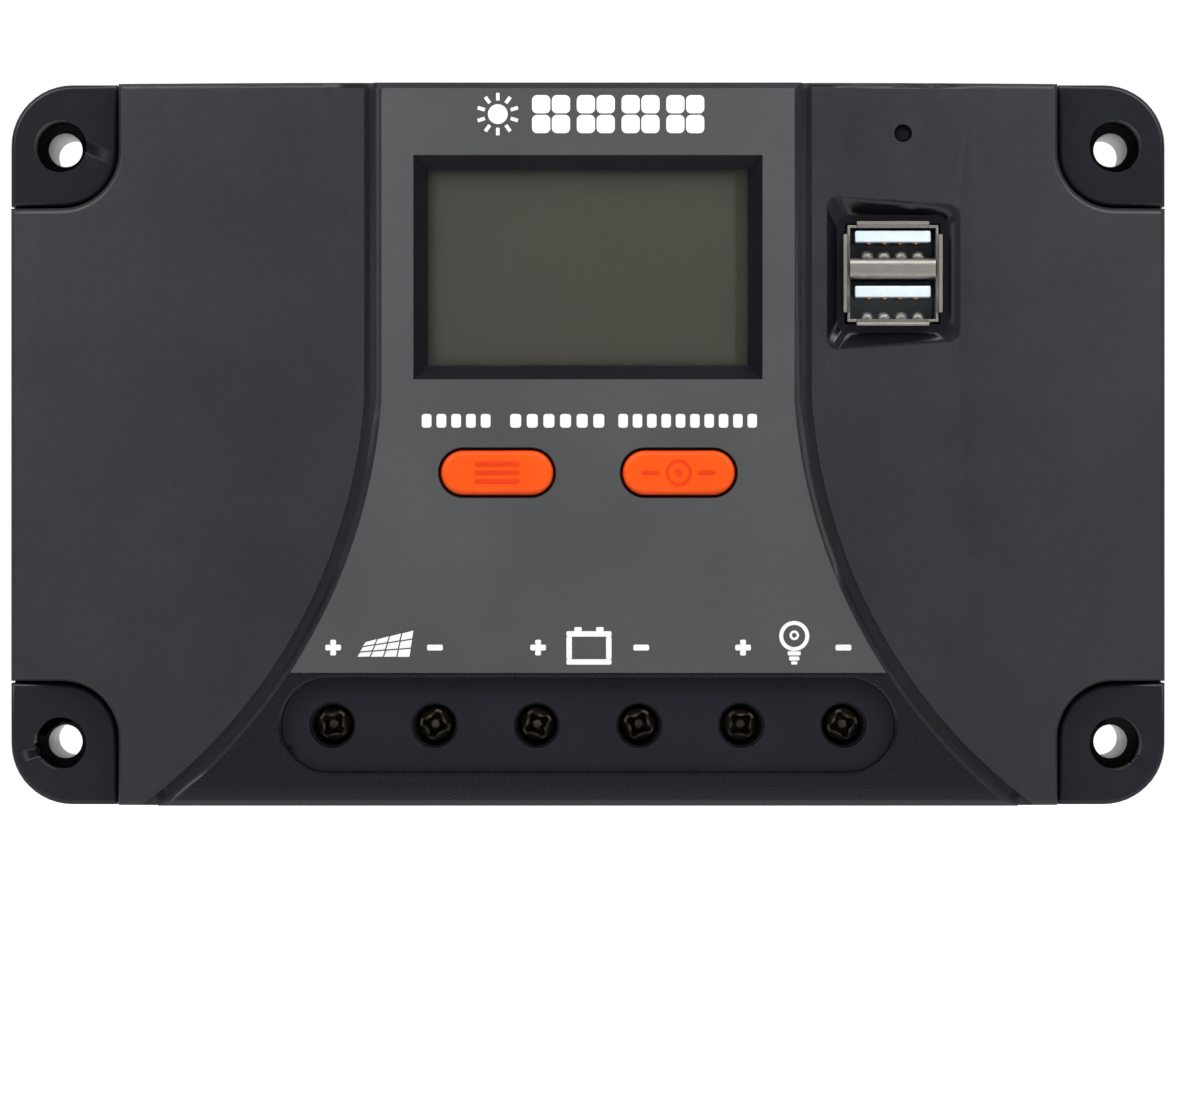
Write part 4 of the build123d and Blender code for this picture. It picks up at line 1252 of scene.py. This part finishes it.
@dataclass
class UsbPair:
    """Two stacked sockets in one folded shell, with flared lips, tongues and spring contacts."""

    x: float = 44.8
    z: float = 25.1
    width: float = 13.4
    height: float = 14.2
    sheet: float = 0.4
    back: float = 23.6
    front: float = 41.0
    lip: float = 0.62
    lip_length: float = 0.7
    lip_inset: float = 1.35
    divider: float = 3.0
    divider_rise: float = 0.75
    port_pitch: float = 8.1
    tongue_width: float = 11.1
    tongue_thickness: float = 1.68
    tongue_rise: float = 1.4
    tongue_front: float = 40.2
    tongue_back: float = 29.6
    contact_pitch: float = 2.3
    lean: float = 0.58
    spring_pitch: float = 2.5
    spring_front: float = 39.0
    spring_back: float = 33.0

    def wall(self, shape: Solid, low: Tuple[float, float], high: Tuple[float, float]) -> None:
        """A wall of the shell, from the board to the root of the lips."""
        root = self.front - self.lip_length
        shape.block((low[0], -root, low[1]), (high[0], -self.back, high[1]), 0.1)

    def flare(self, shape: Solid, low: Point, high: Point, way: Point) -> None:
        """A lip whose front edge leans outwards.

        Args:
            shape: The shape that it joins.
            low: Its lowest corner.
            high: Its highest corner.
            way: How far its front edge leans.
        """
        made = shape.block(low, high)
        lead = [v for v in made if v.co.y < (low[1] + high[1]) / 2]
        bmesh.ops.translate(shape.mesh, vec=way, verts=lead)
        edges = list({edge for vert in made for edge in vert.link_edges})
        shape.round_off(edges, 0.13, 3)

    def shell(self) -> Solid:
        """Four walls, four lips with open corners, and the folded bar between the sockets."""
        shape = Solid()
        w, h, t = self.width / 2, self.height / 2, self.sheet
        x, z = self.x, self.z
        self.wall(shape, (x - w, z - h + t), (x - w + t, z + h - t))
        self.wall(shape, (x + w - t, z - h + t), (x + w, z + h - t))
        self.wall(shape, (x - w, z - h), (x + w, z - h + t))
        self.wall(shape, (x - w, z + h - t), (x + w, z + h))
        root, tip, inset = -self.front + self.lip_length, -self.front, self.lip_inset
        for way in (-1, 1):
            near, far = sorted((x + way * (w - t), x + way * (w + 0.04)))
            low, high = (near, tip, z - h + inset), (far, root, z + h - inset)
            self.flare(shape, low, high, (way * self.lean, 0.0, 0.0))
            near, far = sorted((z + way * (h - t), z + way * (h + 0.04)))
            low, high = (x - w + inset, tip, near), (x + w - inset, root, far)
            self.flare(shape, low, high, (0.0, 0.0, way * self.lean))
        half = self.divider / 2
        middle = z + self.divider_rise
        bar = shape.block(
            (x - w + t, -self.front + 0.25, middle - half), (x + w - t, -self.back, middle + half)
        )
        lead = [
            edge for edge in {e for v in bar for e in v.link_edges}
            if all(v.co.y < -self.front + 0.3 for v in edge.verts)
            and abs(edge.verts[0].co.x - edge.verts[1].co.x) > 1.0
        ]
        shape.round_off(lead, 0.95, 6)
        return shape

    def insulator(self) -> Solid:
        """The moulded body at the back of each socket, and its tongue."""
        shape = Solid()
        wide = self.width / 2 - self.sheet - 0.05
        for way in (-1, 1):
            wall = self.z + way * (self.height / 2 - self.sheet - 0.05)
            low, high = sorted((wall, self.z + self.divider_rise + way * (self.divider / 2 + 0.05)))
            shape.block((self.x - wide, -self.tongue_back, low), (self.x + wide, -self.back, high), 0.1)
            centre = self.z + way * self.port_pitch / 2 + self.tongue_rise
            shape.block(
                (self.x - self.tongue_width / 2, -self.tongue_front, centre - self.tongue_thickness / 2),
                (self.x + self.tongue_width / 2, -self.tongue_back, centre + self.tongue_thickness / 2),
                0.22, 3,
            )
        return shape

    def contacts(self) -> Solid:
        """Four flat contacts under each tongue, each with a raised wiping dome."""
        shape = Solid()
        for way in (-1, 1):
            under = self.z + way * self.port_pitch / 2 + self.tongue_rise - self.tongue_thickness / 2
            for i in range(4):
                x = self.x + (i - 1.5) * self.contact_pitch
                shape.block(
                    (x - 0.5, -self.tongue_front + 0.6, under - 0.14),
                    (x + 0.5, -self.tongue_back, under), 0.04,
                )
                turn = Matrix.Translation((x, -self.tongue_front + 1.6, under - 0.1))
                bmesh.ops.create_uvsphere(shape.mesh, u_segments=12, v_segments=8, radius=0.27, matrix=turn)
        return shape

    def springs(self) -> Solid:
        """Grip springs on the floor of each socket, which hold the plug's shell."""
        shape = Solid()
        floors = (self.z - self.height / 2 + self.sheet, self.z + self.divider_rise + self.divider / 2)
        for floor in floors:
            for i in range(4):
                x = self.x + (i - 1.5) * self.spring_pitch
                shape.block(
                    (x - 0.75, -self.spring_front, floor + 0.02),
                    (x + 0.75, -self.spring_back, floor + 0.32), 0.1,
                )
                turn = Matrix.Translation((x, -38.0, floor + 0.3)) @ Matrix.Diagonal((1.15, 1.3, 1.0, 1.0))
                bmesh.ops.create_uvsphere(shape.mesh, u_segments=16, v_segments=10, radius=0.86, matrix=turn)
        return shape

    def build(self) -> None:
        """Make the shell, the tongues, the contacts and the springs."""
        shell = self.shell().finish("usb_shell_folded", 40.0)
        dress(shell, FINISHES[Slot.TIN], "case", ["usb_shell"])
        tongues = self.insulator().finish("usb_tongues")
        dress(tongues, FINISHES[Slot.WHITE], "case", ["usb_insulator"])
        contacts = self.contacts().finish("usb_contact_strips")
        dress(contacts, FINISHES[Slot.GOLD], "case", ["usb_contacts"])
        dark = Metal("shaded spring steel", (0.22, 0.22, 0.21), 0.45, (1.0, 0.3, 1.0), 0.3, 0.5)
        dress(self.springs().finish("usb_grip_springs"), dark, "case")


@dataclass
class StatusLight:
    """The light pipe's domed end in its hole."""

    x: float = 46.2
    z: float = 45.6
    radius: float = 1.18
    dome: float = 0.15

    def build(self) -> None:
        """Make the pipe's end, and smooth the pipe and the light behind it."""
        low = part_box("light_pipe")[0].y / MM
        profile = [(0.0, low + 0.3), (self.radius, low + 0.3), (self.radius, low - 0.02)]
        for step in range(1, 6):
            angle = math.pi / 2 * step / 5
            profile.append((self.radius * math.cos(angle) + 1e-6, low - 0.02 - self.dome * math.sin(angle)))
        shape = Solid()
        shape.turned(profile, (self.x, self.z), 32)
        dress(shape.finish("light_pipe_dome"), FINISHES[Slot.PIPE], "case")
        refined("light_pipe", "case", Slot.PIPE)
        refined("status_led", "case", Slot.PIPE)


@dataclass
class InnerParts:
    """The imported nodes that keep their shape: each gets its finish, and round ones even shading."""

    round_nodes: Tuple[str, ...] = ("capacitors", "choke", "buzzer")
    slots: Dict[str, Slot] = field(default_factory=dict)

    def build(self) -> None:
        """Dress every node from the record's list."""
        for part in frame["record"]["subparts"]:
            self.slots[part["node"]] = Slot(part["material_slot"])
        for node in self.round_nodes:
            refined(node, "case", self.slots[node])
        for node, piece in frame["nodes"].items():
            piece.data.materials.clear()
            piece.data.materials.append(FINISHES[self.slots[node]].material())
        LOG.info("%d packed nodes dressed", len(frame["nodes"]))


# ---------------------------------------------------------------- studio


@dataclass(frozen=True)
class SoftBox:
    """A soft lamp that looks at the middle of the object."""

    name: str
    spot: Point
    width: float
    height: float
    power: float

    def build(self) -> None:
        """Make the lamp."""
        data = bpy.data.lights.new(self.name, "AREA")
        data.shape = "RECTANGLE"
        data.size = self.width
        data.size_y = self.height
        data.energy = self.power
        lamp = bpy.data.objects.new(self.name, data)
        lamp.location = self.spot
        look = Vector(LAMP_AIM) - Vector(self.spot)
        lamp.rotation_euler = look.to_track_quat("-Z", "Y").to_euler()
        bpy.context.scene.collection.objects.link(lamp)


@dataclass
class Studio:
    """A pale floor, soft light and the camera."""

    camera_spot: Point = (0.0003, -1.244, -0.0161)
    lens: float = 250.0
    floor_z: float = -0.135
    floor_size: float = 6.0
    front: float = 0.15
    back: float = 1.02
    back_starts: float = 0.5
    lamps: Tuple[SoftBox, ...] = (
        SoftBox("lamp above", (0.0, -0.26, 0.30), 0.5, 0.2, 1.3),
        SoftBox("lamp left", (-0.40, -0.42, 0.32), 0.3, 0.35, 2.3),
        SoftBox("lamp right", (0.40, -0.42, 0.32), 0.3, 0.35, 2.4),
    )

    def floor(self) -> None:
        """A plain pale floor under the object."""
        shape = bmesh.new()
        bmesh.ops.create_grid(shape, x_segments=2, y_segments=2, size=self.floor_size / 2)
        bmesh.ops.translate(shape, vec=(0.0, 0.0, self.floor_z), verts=shape.verts)
        data = bpy.data.meshes.new("floor")
        shape.to_mesh(data)
        shape.free()
        piece = place("floor", data)
        graph = Graph("pale floor")
        glow = graph.ramp(graph.axis(1), 60.0, 260.0)
        graph.set(
            Base_Color=(0.86, 0.86, 0.86), Roughness=0.9, Specular_IOR_Level=0.1,
            Emission_Color=graph.mix(glow, (0.0, 0.0, 0.0), (1.0, 1.0, 1.0)), Emission_Strength=0.9,
        )
        data.materials.append(graph.material)

    def camera(self) -> None:
        """The camera, level and straight in front."""
        data = bpy.data.cameras.new("camera")
        data.lens = self.lens
        data.sensor_width = 36.0
        data.clip_start = 0.01
        eye = bpy.data.objects.new("camera", data)
        eye.location = self.camera_spot
        eye.rotation_euler = (math.pi / 2, 0.0, 0.0)
        bpy.context.scene.collection.objects.link(eye)
        bpy.context.scene.camera = eye

    def build(self) -> None:
        """Set the room, the lamps and the camera."""
        room = bpy.data.worlds.new("white room")
        room.use_nodes = True
        tree = room.node_tree
        place_in_room = tree.nodes.new("ShaderNodeTexCoord")
        split = tree.nodes.new("ShaderNodeSeparateXYZ")
        ramp = tree.nodes.new("ShaderNodeValToRGB")
        ramp.color_ramp.elements[0].color = (self.front, self.front, self.front * 1.35, 1.0)
        ramp.color_ramp.elements[0].position = 0.0
        ramp.color_ramp.elements[1].color = (self.back, self.back, self.back, 1.0)
        ramp.color_ramp.elements[1].position = self.back_starts
        tree.links.new(place_in_room.outputs["Generated"], split.inputs[0])
        tree.links.new(split.outputs[1], ramp.inputs[0])
        seen = tree.nodes.new("ShaderNodeLightPath")
        backdrop = tree.nodes.new("ShaderNodeMix")
        backdrop.data_type = "RGBA"
        backdrop.inputs[7].default_value = (self.back, self.back, self.back, 1.0)
        tree.links.new(seen.outputs["Is Camera Ray"], backdrop.inputs[0])
        tree.links.new(ramp.outputs[0], backdrop.inputs[6])
        tree.links.new(backdrop.outputs[2], tree.nodes["Background"].inputs[0])
        bpy.context.scene.world = room
        bpy.context.scene.view_settings.view_transform = "Standard"
        self.floor()
        for lamp in self.lamps:
            lamp.build()
        self.camera()


def main() -> None:
    """Build every part of the controller and the room that it stands in."""
    logging.basicConfig(level=logging.INFO, format="%(message)s")
    Studio().build()
    parts = [
        InnerParts(), Housing(), PanelPrint(), Display(), Key("menu", -13.3), Key("set", 13.3),
        TerminalRow(), CaseScrews(), UsbPair(), StatusLight(),
    ]
    for part in parts:
        LOG.info("building %s", type(part).__name__)
        part.build()


if __name__ == "__main__":
    main()
